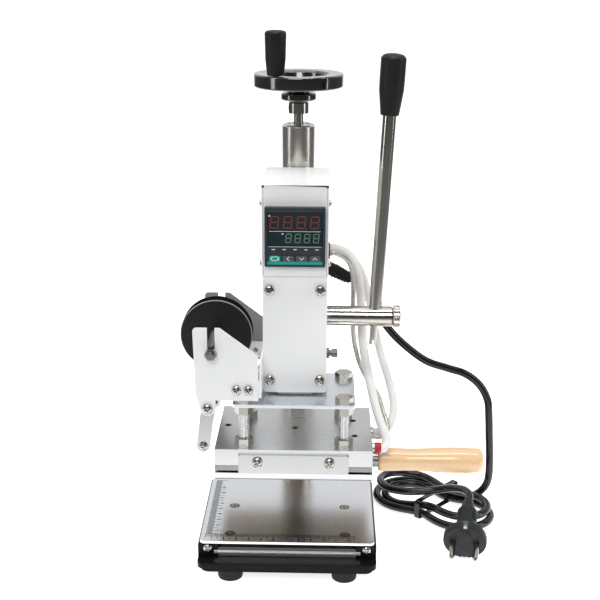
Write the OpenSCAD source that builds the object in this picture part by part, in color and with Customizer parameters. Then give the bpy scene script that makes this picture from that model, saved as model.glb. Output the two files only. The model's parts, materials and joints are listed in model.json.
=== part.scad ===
// Bench hot foil stamping machine: a lever press on a round column, with a heated
// block, a sliding die plate, a sliding worktable and a foil reel at its left side.
// Millimetres, +Z up. The origin is on the table, under the middle of the base.

/* [Base] */
// Width of the base plate
base_w = 143; // [136:1:160]
// Depth of the base plate
base_d = 205; // [198:1:225]
// Thickness of the base plate
base_t = 8; // [6:0.5:12]
// Corner radius of the base plate
base_r = 7; // [3:0.5:12]
// How far the lower half of the base edge steps in
base_step = 2.5; // [1:0.25:4]
// Height of the rubber feet
foot_h = 12; // [9:0.5:18]
// Diameter of the rubber feet on the table
foot_d = 20; // [15:0.5:26]
// Distance from the side of the base to a foot
foot_inset_x = 25.5; // [18:0.5:34]
// Distance from the front or back of the base to a foot
foot_inset_y = 18; // [14:0.5:30]

/* [Worktable] */
// Width of each table rail
rail_w = 16; // [13:0.5:20]
// Height of each table rail
rail_h = 12.7; // [11:0.1:18]
// Free depth between the table rails and the column flange
rail_gap = 8; // [6:0.5:14]
// Distance from the front of the base to the rails
rail_inset = 13; // [9:0.5:16]
// Height of the sliding carriage
carriage_h = 8; // [7:0.25:9]
// Width of the work plate
plate_w = 139.5; // [120:0.5:160]
// Free depth between the work plate and the column flange
plate_gap = 11; // [8:0.5:16]
// Thickness of the work plate
plate_t = 2; // [1.5:0.25:4]
// Corner radius of the work plate
plate_r = 4; // [2:0.5:8]
// Distance from the front of the base to the work plate
plate_inset = 10; // [8:0.5:13]

/* [Column] */
// Diameter of the column
column_d = 28; // [26:0.5:30]
// Bore of the hollow column
column_bore = 20; // [18:0.5:21]
// Height of the column above the base plate
column_h = 326; // [320:1:335]
// Distance from the back of the base to the column axis
column_inset = 40; // [36:0.5:44]
// Diameter of the flange at the foot of the column
flange_d = 52; // [48:0.5:56]
// Thickness of the column flange
flange_t = 10; // [8:0.5:14]
// Sideways place of the column and head from the middle of the base
head_x = 4; // [0:0.5:6]

/* [Head] */
// Width of the head body
head_w = 52; // [50:0.5:56]
// Height of the head body
head_h = 99.5; // [97:0.5:104]
// Thickness of the front cover
cover_t = 2; // [1.5:0.25:3]
// How far the cover stands behind the front of the hood
cover_setback = 2.3; // [1:0.1:4]
// Width of the hood
hood_w = 53.2; // [52.8:0.2:58]
// Depth of the hood
hood_d = 77.7; // [76:0.1:82]
// Height of the hood
hood_h = 73.8; // [68:0.1:80]
// Sheet thickness of the hood
hood_t = 1.2; // [0.8:0.1:1.6]
// Room between the hood and the column
hood_gap = 1.6; // [1:0.1:3]
// Width and height of the temperature controller's bezel
bezel_w = 48; // [46:0.5:49]
// How far the bezel stands out of the hood
bezel_t = 5; // [4:0.25:7]
// Height of the controller's middle above the bottom of the hood
bezel_rise = 33; // [30:0.5:36]

/* [Press drive] */
// Tooth module of the pinion and rack
gear_module = 1.5; // [1.4:0.05:1.6]
// Teeth on the pinion
pinion_teeth = 20; // [19:1:21]
// Face width of the pinion
pinion_face = 16; // [12:0.5:18]
// Diameter of the lever shaft
shaft_d = 17; // [15:0.5:18]
// How far the shaft stands out of the head
shaft_reach = 55; // [51:0.5:64]
// Height of the shaft above the bottom of the head
pinion_rise = 53.7; // [50:0.1:56]
// Distance from the front of the head body to the shaft
pinion_depth = 39; // [38:0.5:41]
// Turn of the lever from upright to fully pulled
lever_swing = 110; // [90:1:112]

/* [Lever] */
// Diameter of the lever rod
rod_d = 11; // [9:0.5:12]
// Distance from the head to the lever rod
rod_offset = 40; // [38:0.5:44]
// Outward lean of the lever rod in degrees
rod_lean = 2.8; // [0:0.2:4]
// Length of the rod from the shaft axis to the grip
rod_l = 169; // [140:1:190]
// Diameter of the slotted stud under the shaft
stud_d = 6.3; // [5:0.1:7]
// How far the stud stands out under the shaft
stud_l = 16; // [10:0.5:18]
// Length of the lever grip
grip_l = 49; // [40:0.5:60]
// Diameter of the lever grip
grip_d = 20.3; // [18:0.1:26]
// Diameter of the lower end of the lever grip
grip_end_d = 15; // [13:0.1:17]
// Diameter of the knurled thumb screw
thumb_d = 18.7; // [14:0.1:24]
// Thickness of the knurled thumb screw
thumb_t = 6; // [4:0.5:10]

/* [Ram and heat block] */
// Free height between the work plate and the die plate with the lever up
daylight = 38; // [36:0.5:44]
// Width of the ram
ram_w = 28; // [26:0.5:30]
// Length of the ram above the upper plate
ram_l = 95; // [92:0.5:96]
// Free height between the upper plate and the bottom of the head with the lever up
head_rest_gap = 2; // [1:0.25:5]
// Width of the upper plate
upper_w = 99; // [96:0.5:110]
// Depth of the upper plate
upper_d = 76; // [72:0.5:78]
// Thickness of the upper plate
upper_t = 3; // [2.5:0.25:5]
// Distance from the front of the head body to the middle of the upper plate
upper_offset = 12.5; // [11:0.5:14]
// Thread diameter of the spacing bolts
bolt_d = 8; // [6:0.5:9]
// Spacing of the bolts from side to side
bolt_pitch_x = 81.5; // [78:0.5:84]
// Spacing of the bolts from front to back
bolt_pitch_y = 58.5; // [52:0.5:60]
// Free height between the heat block and the upper plate
bolt_clear = 34.3; // [30:0.1:38]
// Width of the heat block
block_w = 128.5; // [122:0.5:130]
// Depth of the heat block
block_d = 95; // [90:0.5:100]
// Thickness of the heat block
block_t = 14; // [13:0.25:18]
// Thickness of the slideway plate under the block
slideway_t = 4.7; // [4.3:0.1:6]
// Distance from the front of the head body to the middle of the block
block_offset = 17; // [15:0.5:18]
// Thickness of the die plate
die_t = 5.4; // [4:0.1:8]
// Free height between the die plate and its slideway plate
die_gap = 1.9; // [1:0.1:3]
// Width of the die plate's sliding rail
die_rail_w = 33; // [28:0.5:40]
// Length of the wooden handle
handle_l = 88; // [70:1:110]
// Greatest diameter of the wooden handle
handle_d = 21.8; // [19:0.2:26]
// Distance from the middle of the block to the handle, to the front
handle_offset = 10; // [4:0.5:12]

/* [Foil unit] */
// Sheet thickness of the foil brackets
sheet_t = 1.5; // [1:0.25:2]
// Distance between the two foil brackets
foil_span = 100; // [96:0.5:104]
// Distance from the front bracket to the front of the head body
foil_lead = 28; // [27.5:0.5:30]
// How far the foil brackets reach past the left side of the block
bracket_reach = 16.15; // [15.5:0.05:22]
// Height of the foil brackets' upper part
bracket_h = 61; // [56:0.5:66]
// Height of the bottom of the brackets above the upper plate
bracket_rise = 4; // [3.5:0.25:8]
// Diameter of the reel flanges
reel_d = 60; // [50:0.5:64]
// Outside distance across the two reel flanges
reel_w = 13.7; // [12:0.1:24]
// Diameter of the reel shaft
reel_shaft_d = 6; // [5:0.25:6.5]
// Length of the guide arms between their screws
arm_l = 33.7; // [26:0.1:36]
// Width of the guide arms
arm_w = 10.9; // [9:0.1:11]

/* [Handwheel] */
// Diameter of the handwheel
wheel_d = 75.6; // [70:0.2:80]
// Height of the handwheel rim
rim_h = 11.5; // [9:0.25:15]
// Diameter of the lead screw
screw_d = 8; // [7:0.25:9]
// Length of lead screw that shows above the column
screw_show = 9.3; // [8:0.1:14]
// Distance from the wheel axis to the crank grip
crank_r = 30.5; // [29:0.25:32]
// Height of the crank grip
crank_h = 36.5; // [30:0.5:44]

/* [Hidden] */
$fn = 64;
eps = 0.01;

// Clearances: a pin or shaft that turns, flat faces that slide, pieces that only pass, and seated pieces
run_fit = 0.05;
slide_gap = 0.3;
pass_gap = 0.5;
seat_gap = 0.02;

// Levels from the table up
base_top = foot_h + base_t;
rail_top = base_top + rail_h;
plate_z = rail_top + slide_gap;
plate_top = plate_z + plate_t;
die_z = plate_top + daylight;
die_top = die_z + die_t;
slideway_z = die_top + die_gap;
block_z = slideway_z + slideway_t;
block_top = block_z + block_t;
upper_z = block_top + bolt_clear;
upper_top = upper_z + upper_t;
head_z = upper_top + head_rest_gap;
head_top = head_z + head_h;
hood_top = head_top + hood_h;
pinion_z = head_z + pinion_rise;
column_top = base_top + column_h;
ram_top = upper_top + ram_l;

// Places from front to back
front_y = -base_d / 2;
plate_y = front_y + plate_inset;
rail_y = front_y + rail_inset;
column_y = base_d / 2 - column_inset;
flange_y = column_y - flange_d / 2;
plate_d = flange_y - plate_gap - plate_y;
rail_l = flange_y - rail_gap - rail_y;
hood_back = column_y - column_d / 2 - hood_gap;
hood_front = hood_back - hood_d;
cover_y = hood_front + cover_setback;
body_y = cover_y + cover_t;
pinion_y = body_y + pinion_depth;
upper_y = body_y + upper_offset;
block_y = body_y + block_offset;

// Sides of the head
head_left = head_x - head_w / 2;
head_right = head_x + head_w / 2;
block_left = head_x - block_w / 2;
die_right = head_x + block_w / 2;

// Fasteners
m5_head_d = 8.5;
m5_head_h = 3.2;
m5_d = 5;
m4_head_d = 7.3;
m4_d = 4;
m3_head_d = 5.4;
m3_head_h = 2.2;
m3_d = 3;

// 2-D rectangle with round corners, centred
module rounded(w, d, r) {
  square([w - 2 * r, d], center = true);
  square([w, d - 2 * r], center = true);
  for (x = [-1, 1], y = [-1, 1])
    translate([x * (w / 2 - r), y * (d / 2 - r)])
      circle(r);
}

// Points of an arc about c, from angle a to angle b
function arc(c, r, a, b, n = 8) = [
  for (i = [0:n])
    let (t = a + (b - a) * i / n)
    c + r * [cos(t), sin(t)]
];

// Cross recess for a screw head of diameter d, cut down from z = 0
module cross_recess(d, depth) {
  for (a = [0, 90])
    rotate(a + 20)
      translate([-d * 0.28, -d * 0.07, -depth])
        cube([d * 0.56, d * 0.14, depth + eps]);
}

// Pan head screw, its seat at z = 0 and its shank pointing down
module pan_screw(head_d, head_h, shank_d, shank_l) {
  edge = head_h * 0.45;
  crown = head_h - edge;
  difference() {
    rotate_extrude()
      polygon(concat(
        [[0, -shank_l], [shank_d / 2, -shank_l], [shank_d / 2, 0], [head_d / 2, 0]],
        [for (i = [0:6]) [head_d / 2 * cos(i * 15), edge + crown * sin(i * 15)]]
      ));
    translate([0, 0, head_h])
      cross_recess(head_d, head_h * 0.6);
  }
}

// Hole for a seated piece of diameter d, through h above z = 0
module hole(d, h) {
  translate([0, 0, -eps])
    cylinder(d = d + 2 * seat_gap, h = h + 2 * eps);
}

// Hexagon of width af across its flats
module hexagon(af, h) {
  cylinder(d = af / cos(30), h = h, $fn = 6);
}

// Sweep of a round tube along points: each ring stands square to its neighbours' line
function unit(v) = v / norm(v);
function tangent(p, i) =
  let (n = len(p) - 1)
  unit(p[min(i + 1, n)] - p[max(i - 1, 0)]);
function side_of(t, up) = unit(cross(up, t));
function tube_rings(p, r, sides, up) = [
  for (i = [0:len(p) - 1])
    let (t = tangent(p, i), s = side_of(t, up), u = cross(t, s))
    for (k = [0:sides - 1]) p[i] + r * (cos(360 * k / sides) * s + sin(360 * k / sides) * u)
];
module tube(p, r, sides, up) {
  n = len(p);
  polyhedron(
    points = concat(tube_rings(p, r, sides, up), [p[0], p[n - 1]]),
    faces = concat(
      [for (i = [0:n - 2], k = [0:sides - 1]) let (j = (k + 1) % sides)
        [i * sides + k, (i + 1) * sides + k, i * sides + j]],
      [for (i = [0:n - 2], k = [0:sides - 1]) let (j = (k + 1) % sides)
        [i * sides + j, (i + 1) * sides + k, (i + 1) * sides + j]],
      [for (k = [0:sides - 1]) [n * sides, k, (k + 1) % sides]],
      [for (k = [0:sides - 1]) [n * sides + 1, (n - 1) * sides + (k + 1) % sides, (n - 1) * sides + k]]
    )
  );
}

// Smooth curve through hand-chosen points, m steps to a stretch
function curve_point(p, i, f) =
  let (n = len(p) - 1, a = p[max(i - 1, 0)], b = p[i], c = p[i + 1], d = p[min(i + 2, n)])
  0.5 * (2 * b + (c - a) * f + (2 * a - 5 * b + 4 * c - d) * f * f + (3 * b - a - 3 * c + d) * f * f * f);
function curve(p, m) = concat(
  [for (i = [0:len(p) - 2], k = [0:m - 1]) curve_point(p, i, k / m)],
  [p[len(p) - 1]]
);
function path_length(p) = let (d = [for (i = [1:len(p) - 1]) norm(p[i] - p[i - 1])]) d * [for (x = d) 1];

// Least gap of a tube of diameter d to itself, at points `apart` steps apart or more
function least_gap(p, d, apart) =
  min([for (i = [0:len(p) - 1]) for (j = [i + apart:1:len(p) - 1]) norm(p[i] - p[j])]) - d;

// Open coil spring along +Z with closed end turns, wound by formula
coil_rings = 8;
function coil_height(t, turns, wire, length) =
  let (dead = 1, f = (t - dead) / (turns - 2 * dead), low = wire * 1.5 * dead)
  t < dead ? low * t / dead
  : t > turns - dead ? length - low * (turns - t) / dead
  : low + (length - 2 * low) * f;
function coil(turns, radius, wire, length) = [
  for (i = [0:turns * coil_rings])
    let (t = i / coil_rings)
    [radius * cos(360 * t), radius * sin(360 * t), coil_height(t, turns, wire, length)]
];

// On the column's axis
module on_column(z) {
  translate([head_x, column_y, z])
    children();
}

// Base

module base_plate() {
  upper = base_t * 0.55;
  color("#1c1c1e")
    difference() {
      union() {
        translate([0, 0, base_top - upper])
          linear_extrude(upper)
            rounded(base_w, base_d, base_r);
        translate([0, 0, foot_h])
          linear_extrude(base_t - upper)
            rounded(base_w - 2 * base_step, base_d - 2 * base_step, base_r);
      }
      foot_places()
        translate([0, 0, foot_h])
          hole(m5_d, base_t);
      rail_bolt_places()
        translate([0, 0, foot_h - eps]) {
          hole(m4_d, base_t);
          cylinder(d = m4_head_d + 2 * pass_gap, h = bolt_sink + eps);
        }
      flange_bolt_places()
        translate([0, 0, foot_h])
          hole(m5_d, base_t);
    }
}

bolt_sink = 3.4;
foot_recess = foot_h * 0.55;
stop_z = base_top + rail_h * 0.62;
flange_pitch_d = (column_d + flange_d) / 2;
flange_bolt_n = 4;

module foot_places() {
  for (x = [-1, 1], y = [-1, 1])
    translate([x * (base_w / 2 - foot_inset_x), y * (base_d / 2 - foot_inset_y), 0])
      children();
}

module rail_bolt_places() {
  for (x = [-1, 1], f = [0.3, 0.8])
    translate([x * (base_w / 2 - rail_w / 2), rail_y + rail_l * f, 0])
      children();
}

module flange_bolt_places() {
  for (i = [0:flange_bolt_n - 1])
    on_column(0)
      rotate(45 + 360 * i / flange_bolt_n)
        translate([flange_pitch_d / 2, 0, 0])
          children();
}

module rubber_feet() {
  recess_d = m5_head_d + 2 * pass_gap;
  color("#151515")
    foot_places()
      rotate_extrude()
        polygon(concat(
          [[m5_d / 2 + seat_gap, foot_h], [m5_d / 2 + seat_gap, foot_recess], [recess_d / 2, foot_recess]],
          [[recess_d / 2, 0], [foot_d / 2 - 1.5, 0]],
          arc([foot_d / 2 - 1.5, 1.5], 1.5, -80, 0, 4),
          [[foot_d / 2 + 1, foot_h]]
        ));
}

module base_fasteners() {
  color("#b9b7b2") {
    foot_places()
      translate([0, 0, foot_recess])
        rotate([180, 0, 0])
          pan_screw(m5_head_d, m5_head_h, m5_d, foot_h - foot_recess + base_t - 1);
    rail_bolt_places()
      translate([0, 0, foot_h + bolt_sink])
        rotate([180, 0, 0])
          pan_screw(m4_head_d, bolt_sink - slide_gap, m4_d, base_t - bolt_sink + rail_h * 0.3);
    for (x = [-1, 1])
      translate([x * (base_w / 2 - rail_w * 0.5), rail_y, stop_z])
        rotate([90, 0, 0])
          pan_screw(m4_head_d, m5_head_h, m4_d, rail_screw_l);
    flange_bolt_places()
      translate([0, 0, base_top + flange_t])
        difference() {
          union() {
            cylinder(d = m5_head_d, h = m5_d);
            translate([0, 0, -flange_t - base_t + 1])
              cylinder(d = m5_d, h = flange_t + base_t);
          }
          translate([0, 0, m5_d - 2.5])
            hexagon(4, 3);
        }
  }
}

rail_screw_l = 10;
tongue_h = 3;
tongue_w = 3.5;
tongue_z = base_top + slide_gap + carriage_h * 0.3;

// One rail: a bar with a groove for the carriage tongue in its inner side
module rail_profile() {
  chamfer = 1.5;
  difference() {
    polygon([
      [0, 0], [rail_w, 0], [rail_w, rail_h - chamfer], [rail_w - chamfer, rail_h], [0, rail_h]
    ]);
    translate([-eps, tongue_z - base_top - slide_gap])
      square([tongue_w + slide_gap + eps, tongue_h + 2 * slide_gap]);
  }
}

module table_rails() {
  color("#1c1c1e")
    for (side = [0, 1])
      mirror([side, 0, 0])
        difference() {
          translate([base_w / 2 - rail_w, rail_y + rail_l, base_top])
            rotate([90, 0, 0])
              linear_extrude(rail_l)
                rail_profile();
          for (f = [0.3, 0.8])
            translate([base_w / 2 - rail_w / 2, rail_y + rail_l * f, base_top - eps])
              hole(m4_d, rail_h * 0.32);
          translate([base_w / 2 - rail_w * 0.5, rail_y - eps, stop_z])
            rotate([-90, 0, 0])
              hole(m4_d, rail_screw_l + 1);
        }
}

// Worktable

inner_w = base_w - 2 * rail_w - 2 * slide_gap;
carriage_z = base_top + slide_gap;
carriage_y = plate_y + 3;
carriage_l = plate_d - 8;
plate_screw_x = min(plate_w, inner_w) * 0.42;
plate_screw_f = [0.12, 0.54];

module plate_screw_places() {
  for (x = [-1, 1], f = plate_screw_f)
    translate([x * plate_screw_x, plate_y + plate_d * f, plate_top])
      children();
}

module table_carriage() {
  line_h = 0.6;
  color("#c9ccd0")
    difference() {
      translate([0, carriage_y + carriage_l, carriage_z])
        rotate([90, 0, 0])
          linear_extrude(carriage_l) {
            translate([-inner_w / 2, 0])
              square([inner_w, carriage_h]);
            translate([-inner_w / 2 - tongue_w, tongue_z - carriage_z])
              square([inner_w + 2 * tongue_w, tongue_h]);
          }
      translate([-inner_w / 2 - eps, carriage_y - eps, carriage_z + carriage_h / 2 - line_h / 2])
        cube([inner_w + 2 * eps, line_h, line_h]);
      plate_screw_places()
        translate([0, 0, -plate_top + carriage_z + 1])
          hole(m4_d, carriage_h);
    }
}

module table_spacer() {
  setback = 7;
  spacer_z = carriage_z + carriage_h;
  color("#303236")
    difference() {
      translate([-inner_w / 2 + 1, carriage_y + setback, spacer_z])
        cube([inner_w - 2, carriage_l - 2 * setback, plate_z - spacer_z]);
      plate_screw_places()
        translate([0, 0, -plate_top + carriage_z])
          hole(m4_d, plate_z);
    }
}

// Countersunk head, its flat top at z = 0, grown by g for the seat
module sunk_head(g) {
  top_d = m4_head_d + 2 * g;
  translate([0, 0, -plate_t * 0.9])
    cylinder(d1 = top_d - plate_t * 1.2, d2 = top_d, h = plate_t * 0.9 + (g > 0 ? eps : 0));
}

module work_plate() {
  color("#d5d8dc")
    difference() {
      translate([0, plate_y + plate_d / 2, plate_z])
        linear_extrude(plate_t)
          rounded(plate_w, plate_d, plate_r);
      plate_screw_places() {
        sunk_head(seat_gap);
        translate([0, 0, -plate_t])
          hole(m4_d, plate_t);
      }
    }
}

module work_plate_screws() {
  color("#b9b7b2")
    plate_screw_places()
      difference() {
        union() {
          sunk_head(0);
          translate([0, 0, -plate_top + carriage_z + 1.5])
            cylinder(d = m4_d, h = plate_top - carriage_z - 2);
        }
        cross_recess(m4_head_d, plate_t * 0.5);
      }
}

// Column and head lift

lift_z = head_z + head_h * 0.72;
carrier_h = 18;
carrier_pin_d = 6;
lift_up = 30;
lift_down = 6;
nut_h = 22;

module column() {
  chamfer = 1.5;
  slot_w = carrier_pin_d + 2 * pass_gap;
  slot_low = lift_z - lift_down - carrier_pin_d / 2 - pass_gap;
  slot_high = lift_z + lift_up + carrier_pin_d / 2 + pass_gap;
  color("#c4c2bd")
    on_column(0)
      difference() {
        rotate_extrude()
          polygon([
            [column_bore / 2, base_top], [column_d / 2, base_top],
            [column_d / 2, column_top - chamfer], [column_d / 2 - chamfer, column_top],
            [column_bore / 2, column_top]
          ]);
        translate([-slot_w / 2, -column_d, slot_low])
          cube([slot_w, column_d, slot_high - slot_low]);
      }
}

module column_flange() {
  chamfer = 1.5;
  color("#1c1c1e")
    difference() {
      on_column(base_top)
        rotate_extrude()
          polygon([
            [column_d / 2 + seat_gap, 0], [flange_d / 2, 0], [flange_d / 2, flange_t - chamfer],
            [flange_d / 2 - chamfer, flange_t], [column_d / 2 + seat_gap, flange_t]
          ]);
      flange_bolt_places()
        translate([0, 0, base_top])
          hole(m5_d, flange_t);
    }
}

module column_nut() {
  color("#b08d4a")
    on_column(column_top - nut_h - 0.5)
      difference() {
        cylinder(d = column_bore - 2 * seat_gap, h = nut_h);
        translate([0, 0, -eps])
          cylinder(d = screw_d + 2 * run_fit, h = nut_h + 2 * eps);
      }
}

// Carrier inside the column, held to the head by a pin through the column's slot
module lift_carrier() {
  pin_back = column_y - column_d / 2 - clamp_pin_l;
  color("#8f9094")
    difference() {
      union() {
        on_column(lift_z - carrier_h / 2)
          cylinder(d = column_bore - 2 * slide_gap, h = carrier_h);
        translate([head_x, pin_back, lift_z])
          rotate([-90, 0, 0])
            cylinder(d = carrier_pin_d, h = column_d / 2 + clamp_pin_l - screw_journal_d / 2 - 1);
      }
      on_column(lift_z - carrier_h / 2 - eps)
        cylinder(d = screw_journal_d + 2 * run_fit, h = carrier_h + 2 * eps);
    }
}

clamp_pin_l = 12;
screw_journal_d = screw_d - 2;
collar_d = 17;
collar_h = 8.7;
collar_z = column_top + screw_show;
hub_z = collar_z + collar_h + 2;
hub_h = 6;
hub_d = 29.7;
rim_rise = 11;
rim_z = hub_z + rim_rise;
web_t = 4;
web_rise = 4;
wheel_top = hub_z + hub_h + web_rise + web_t;

// Lead screw with its clamped collar at the top and a clip under the carrier
module lead_screw() {
  carrier_top = lift_z + carrier_h / 2;
  clip_h = 2;
  clip_d = screw_d + 4;
  set_screw_d = 4;
  color("#a9a8a4")
    on_column(0)
      difference() {
        union() {
          translate([0, 0, carrier_top + slide_gap])
            cylinder(d = screw_d, h = wheel_top - 1 - carrier_top - slide_gap);
          translate([0, 0, carrier_top - carrier_h - slide_gap - clip_h])
            cylinder(d = screw_journal_d, h = carrier_h + clip_h + 2 * slide_gap + eps);
          translate([0, 0, carrier_top - carrier_h - slide_gap - clip_h])
            cylinder(d = clip_d, h = clip_h);
          translate([0, 0, collar_z])
            cylinder(d = collar_d, h = collar_h);
        }
        translate([0, 0, collar_z + collar_h / 2])
          rotate([0, -90, 20])
            translate([0, 0, collar_d / 2 - 2.5])
              cylinder(d = set_screw_d, h = collar_d);
      }
}

// Dished handwheel: hub flange, neck, sloping web and a deep rim
module handwheel() {
  rim_w = 13.4;
  neck_d = 18;
  round_r = 1.6;
  rim_in = wheel_d / 2 - rim_w;
  neck_z = hub_z + hub_h + 2;
  color("#141416")
    difference() {
      on_column(0)
        rotate_extrude()
          polygon(concat(
            [[screw_d / 2 + seat_gap, hub_z - 2], [collar_d / 2 - 1, hub_z - 2], [collar_d / 2, hub_z]],
            [[hub_d / 2 - 1, hub_z], [hub_d / 2, hub_z + 1], [hub_d / 2, hub_z + hub_h - 1]],
            [[hub_d / 2 - 1, hub_z + hub_h], [neck_d / 2, neck_z - 1], [neck_d / 2, neck_z]],
            [[rim_in, rim_z - 0.5]],
            arc([wheel_d / 2 - round_r, rim_z + round_r], round_r, -90, 0, 4),
            arc([wheel_d / 2 - round_r, rim_z + rim_h - round_r], round_r, 0, 75, 4),
            [[rim_in + 2, rim_z + rim_h - 0.4], [rim_in, rim_z + rim_h - 2]],
            [[rim_in - 1.5, rim_z + web_t], [neck_d / 2 + 1, neck_z + web_t]],
            [[neck_d / 2 - 1, wheel_top], [screw_d / 2 + seat_gap, wheel_top]]
          ));
      crank_place()
        translate([0, 0, -crank_root - seat_gap])
          hole(crank_axle_d, 2 * rim_h);
    }
}

crank_root = rim_h * 0.7;
crank_angle = 233;
crank_axle_d = 6;
crank_top_d = 17.7;
crank_mid_d = 16.7;
crank_low_d = 14;
cap_d = 10;
cap_h = 2;

// The crank stands on top of the rim
module crank_place() {
  on_column(rim_z + rim_h)
    rotate(crank_angle)
      translate([crank_r, 0, 0])
        children();
}

module crank_axle() {
  color("#b9b7b2")
    crank_place() {
      translate([0, 0, -crank_root])
        cylinder(d = crank_axle_d, h = crank_root + crank_h - cap_h);
      translate([0, 0, crank_h - cap_h - eps])
        cylinder(d = cap_d, h = cap_h * 0.7);
    }
}

module crank_grip() {
  color("#1a1a1c")
    crank_place()
      rotate_extrude()
        polygon([
          [crank_axle_d / 2 + run_fit, slide_gap], [crank_low_d / 2, slide_gap],
          [crank_mid_d / 2, crank_h * 0.38], [crank_top_d / 2, crank_h - 2],
          [crank_top_d / 2 - 1, crank_h - 0.6], [cap_d / 2 + slide_gap, crank_h],
          [cap_d / 2 + slide_gap, crank_h - cap_h - slide_gap],
          [crank_axle_d / 2 + run_fit, crank_h - cap_h - slide_gap]
        ]);
}

// Press drive

pitch_r = gear_module * pinion_teeth / 2;
addendum = gear_module;
dedendum = 1.25 * gear_module;
pressure_angle = 20;
backlash = 0.2;
tooth_pitch = PI * gear_module;
rack_y = pinion_y - pitch_r;
stroke = pitch_r * lever_swing * PI / 180;
bush_wall = 2.5;
bush_d = shaft_d + 2 * bush_wall;
shaft_end = head_right + shaft_reach;
rod_x = head_right + rod_offset;
ram_y = body_y + slide_gap;
ram_back = rack_y - dedendum;

// Involute of the base circle rb at roll angle t
function involute(rb, t) = rb * [cos(t) + t * PI / 180 * sin(t), sin(t) - t * PI / 180 * cos(t)];
function roll_at(rb, r) = r <= rb ? 0 : sqrt((r / rb) * (r / rb) - 1) * 180 / PI;

// One flank, from the root to the tip, with the tooth's middle on the X axis
function flank(steps = 5) =
  let (
    rb = pitch_r * cos(pressure_angle),
    tip = pitch_r + addendum,
    root = pitch_r - dedendum,
    half = 90 / pinion_teeth - backlash / 2 / pitch_r * 180 / PI,
    at_pitch = involute(rb, roll_at(rb, pitch_r)),
    turn = -half - atan2(at_pitch[1], at_pitch[0]),
    low = max(rb, root),
    start = involute(rb, roll_at(rb, low)),
    foot_angle = turn + atan2(start[1], start[0]) - 1
  )
  concat(
    [root * [cos(foot_angle), sin(foot_angle)]],
    [for (i = [0:steps])
      let (q = involute(rb, roll_at(rb, low + (tip - low) * i / steps)))
      [q[0] * cos(turn) - q[1] * sin(turn), q[0] * sin(turn) + q[1] * cos(turn)]]
  );
function turned(p, a) = [for (q = p) [q[0] * cos(a) - q[1] * sin(a), q[0] * sin(a) + q[1] * cos(a)]];
function flipped(p) = [for (i = [len(p) - 1:-1:0]) [p[i][0], -p[i][1]]];

module pinion() {
  one = concat(flank(), flipped(flank()));
  color("#8c8f94")
    translate([head_x - pinion_face / 2, pinion_y, pinion_z])
      rotate([90, 0, 90])
        difference() {
          linear_extrude(pinion_face)
            polygon([for (i = [0:pinion_teeth - 1]) each turned(one, 180 + 360 * i / pinion_teeth)]);
          hole(shaft_d, pinion_face);
        }
}

module pinion_bushes() {
  bush_l = head_w / 2 - pinion_face / 2 - slide_gap;
  color("#b08d4a")
    for (x = [head_left, head_right - bush_l])
      translate([x, pinion_y, pinion_z])
        rotate([0, 90, 0])
          difference() {
            cylinder(d = bush_d - 2 * seat_gap, h = bush_l);
            translate([0, 0, -eps])
              cylinder(d = shaft_d + 2 * run_fit, h = bush_l + 2 * eps);
          }
}

thumb_shank_d = 6;

// The rod's frame: on the shaft axis, leaning outwards
module rod_place() {
  translate([rod_x, pinion_y, pinion_z])
    rotate([0, rod_lean, 0])
      children();
}

module pinion_shaft() {
  chamfer = 1;
  color("#cfcdc8")
    difference() {
      translate([head_left, pinion_y, pinion_z])
        rotate([0, 90, 0])
          rotate_extrude()
            polygon([
              [0, 0], [shaft_d / 2 - chamfer, 0], [shaft_d / 2, chamfer],
              [shaft_d / 2, shaft_end - head_left - chamfer],
              [shaft_d / 2 - chamfer, shaft_end - head_left], [0, shaft_end - head_left]
            ]);
      rod_place()
        translate([0, 0, -shaft_d])
          hole(stud_d, 2 * shaft_d);
      translate([rod_x, pinion_y, pinion_z])
        rotate([0, 90, 0])
          cylinder(d = thumb_shank_d + 2 * run_fit, h = shaft_reach);
    }
}

// Rod that saddles on the shaft, with a slotted stud through it
module lever_rod() {
  slot_w = 1.2;
  stud_end = shaft_d / 2 + stud_l;
  color("#cfcdc8")
    rod_place()
      difference() {
        union() {
          difference() {
            cylinder(d = rod_d, h = rod_l + grip_l * 0.6);
            rotate([0, 90 - rod_lean, 0])
              cylinder(d = shaft_d + 2 * seat_gap, h = 4 * rod_d, center = true);
          }
          translate([0, 0, -stud_end])
            cylinder(d = stud_d, h = stud_end + shaft_d / 2 + 1);
        }
        translate([-slot_w / 2, -stud_d, -stud_end - eps])
          cube([slot_w, 2 * stud_d, 4]);
      }
}

module lever_grip() {
  dome = 2.5;
  edge = 1;
  color("#202224")
    rod_place()
      translate([0, 0, rod_l])
        difference() {
          rotate_extrude()
            polygon(concat(
              [[0, 0], [grip_end_d / 2, 0], [grip_d / 2 - 0.2, grip_l * 0.4], [grip_d / 2, grip_l * 0.6]],
              [[grip_d / 2, grip_l - dome - edge], [grip_d / 2 - edge, grip_l - dome]],
              [for (i = [1:5]) [(grip_d / 2 - edge) * cos(i * 18), grip_l - dome + dome * sin(i * 18)]]
            ));
          translate([0, 0, -eps])
            hole(rod_d, grip_l * 0.6 + slide_gap);
        }
}

module thumb_screw() {
  chamfer = 0.8;
  shank_l = shaft_end - rod_x - stud_d / 2 - pass_gap - shaft_d / 2 * tan(rod_lean);
  color("#cfcdc8")
    translate([shaft_end, pinion_y, pinion_z])
      rotate([0, 90, 0])
        rotate_extrude()
          polygon([
            [0, -shank_l], [thumb_shank_d / 2, -shank_l], [thumb_shank_d / 2, slide_gap],
            [thumb_d / 2 - chamfer, slide_gap], [thumb_d / 2, slide_gap + chamfer],
            [thumb_d / 2, slide_gap + thumb_t - chamfer],
            [thumb_d / 2 - chamfer, slide_gap + thumb_t], [0, slide_gap + thumb_t]
          ]);
}

// Head

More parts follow.
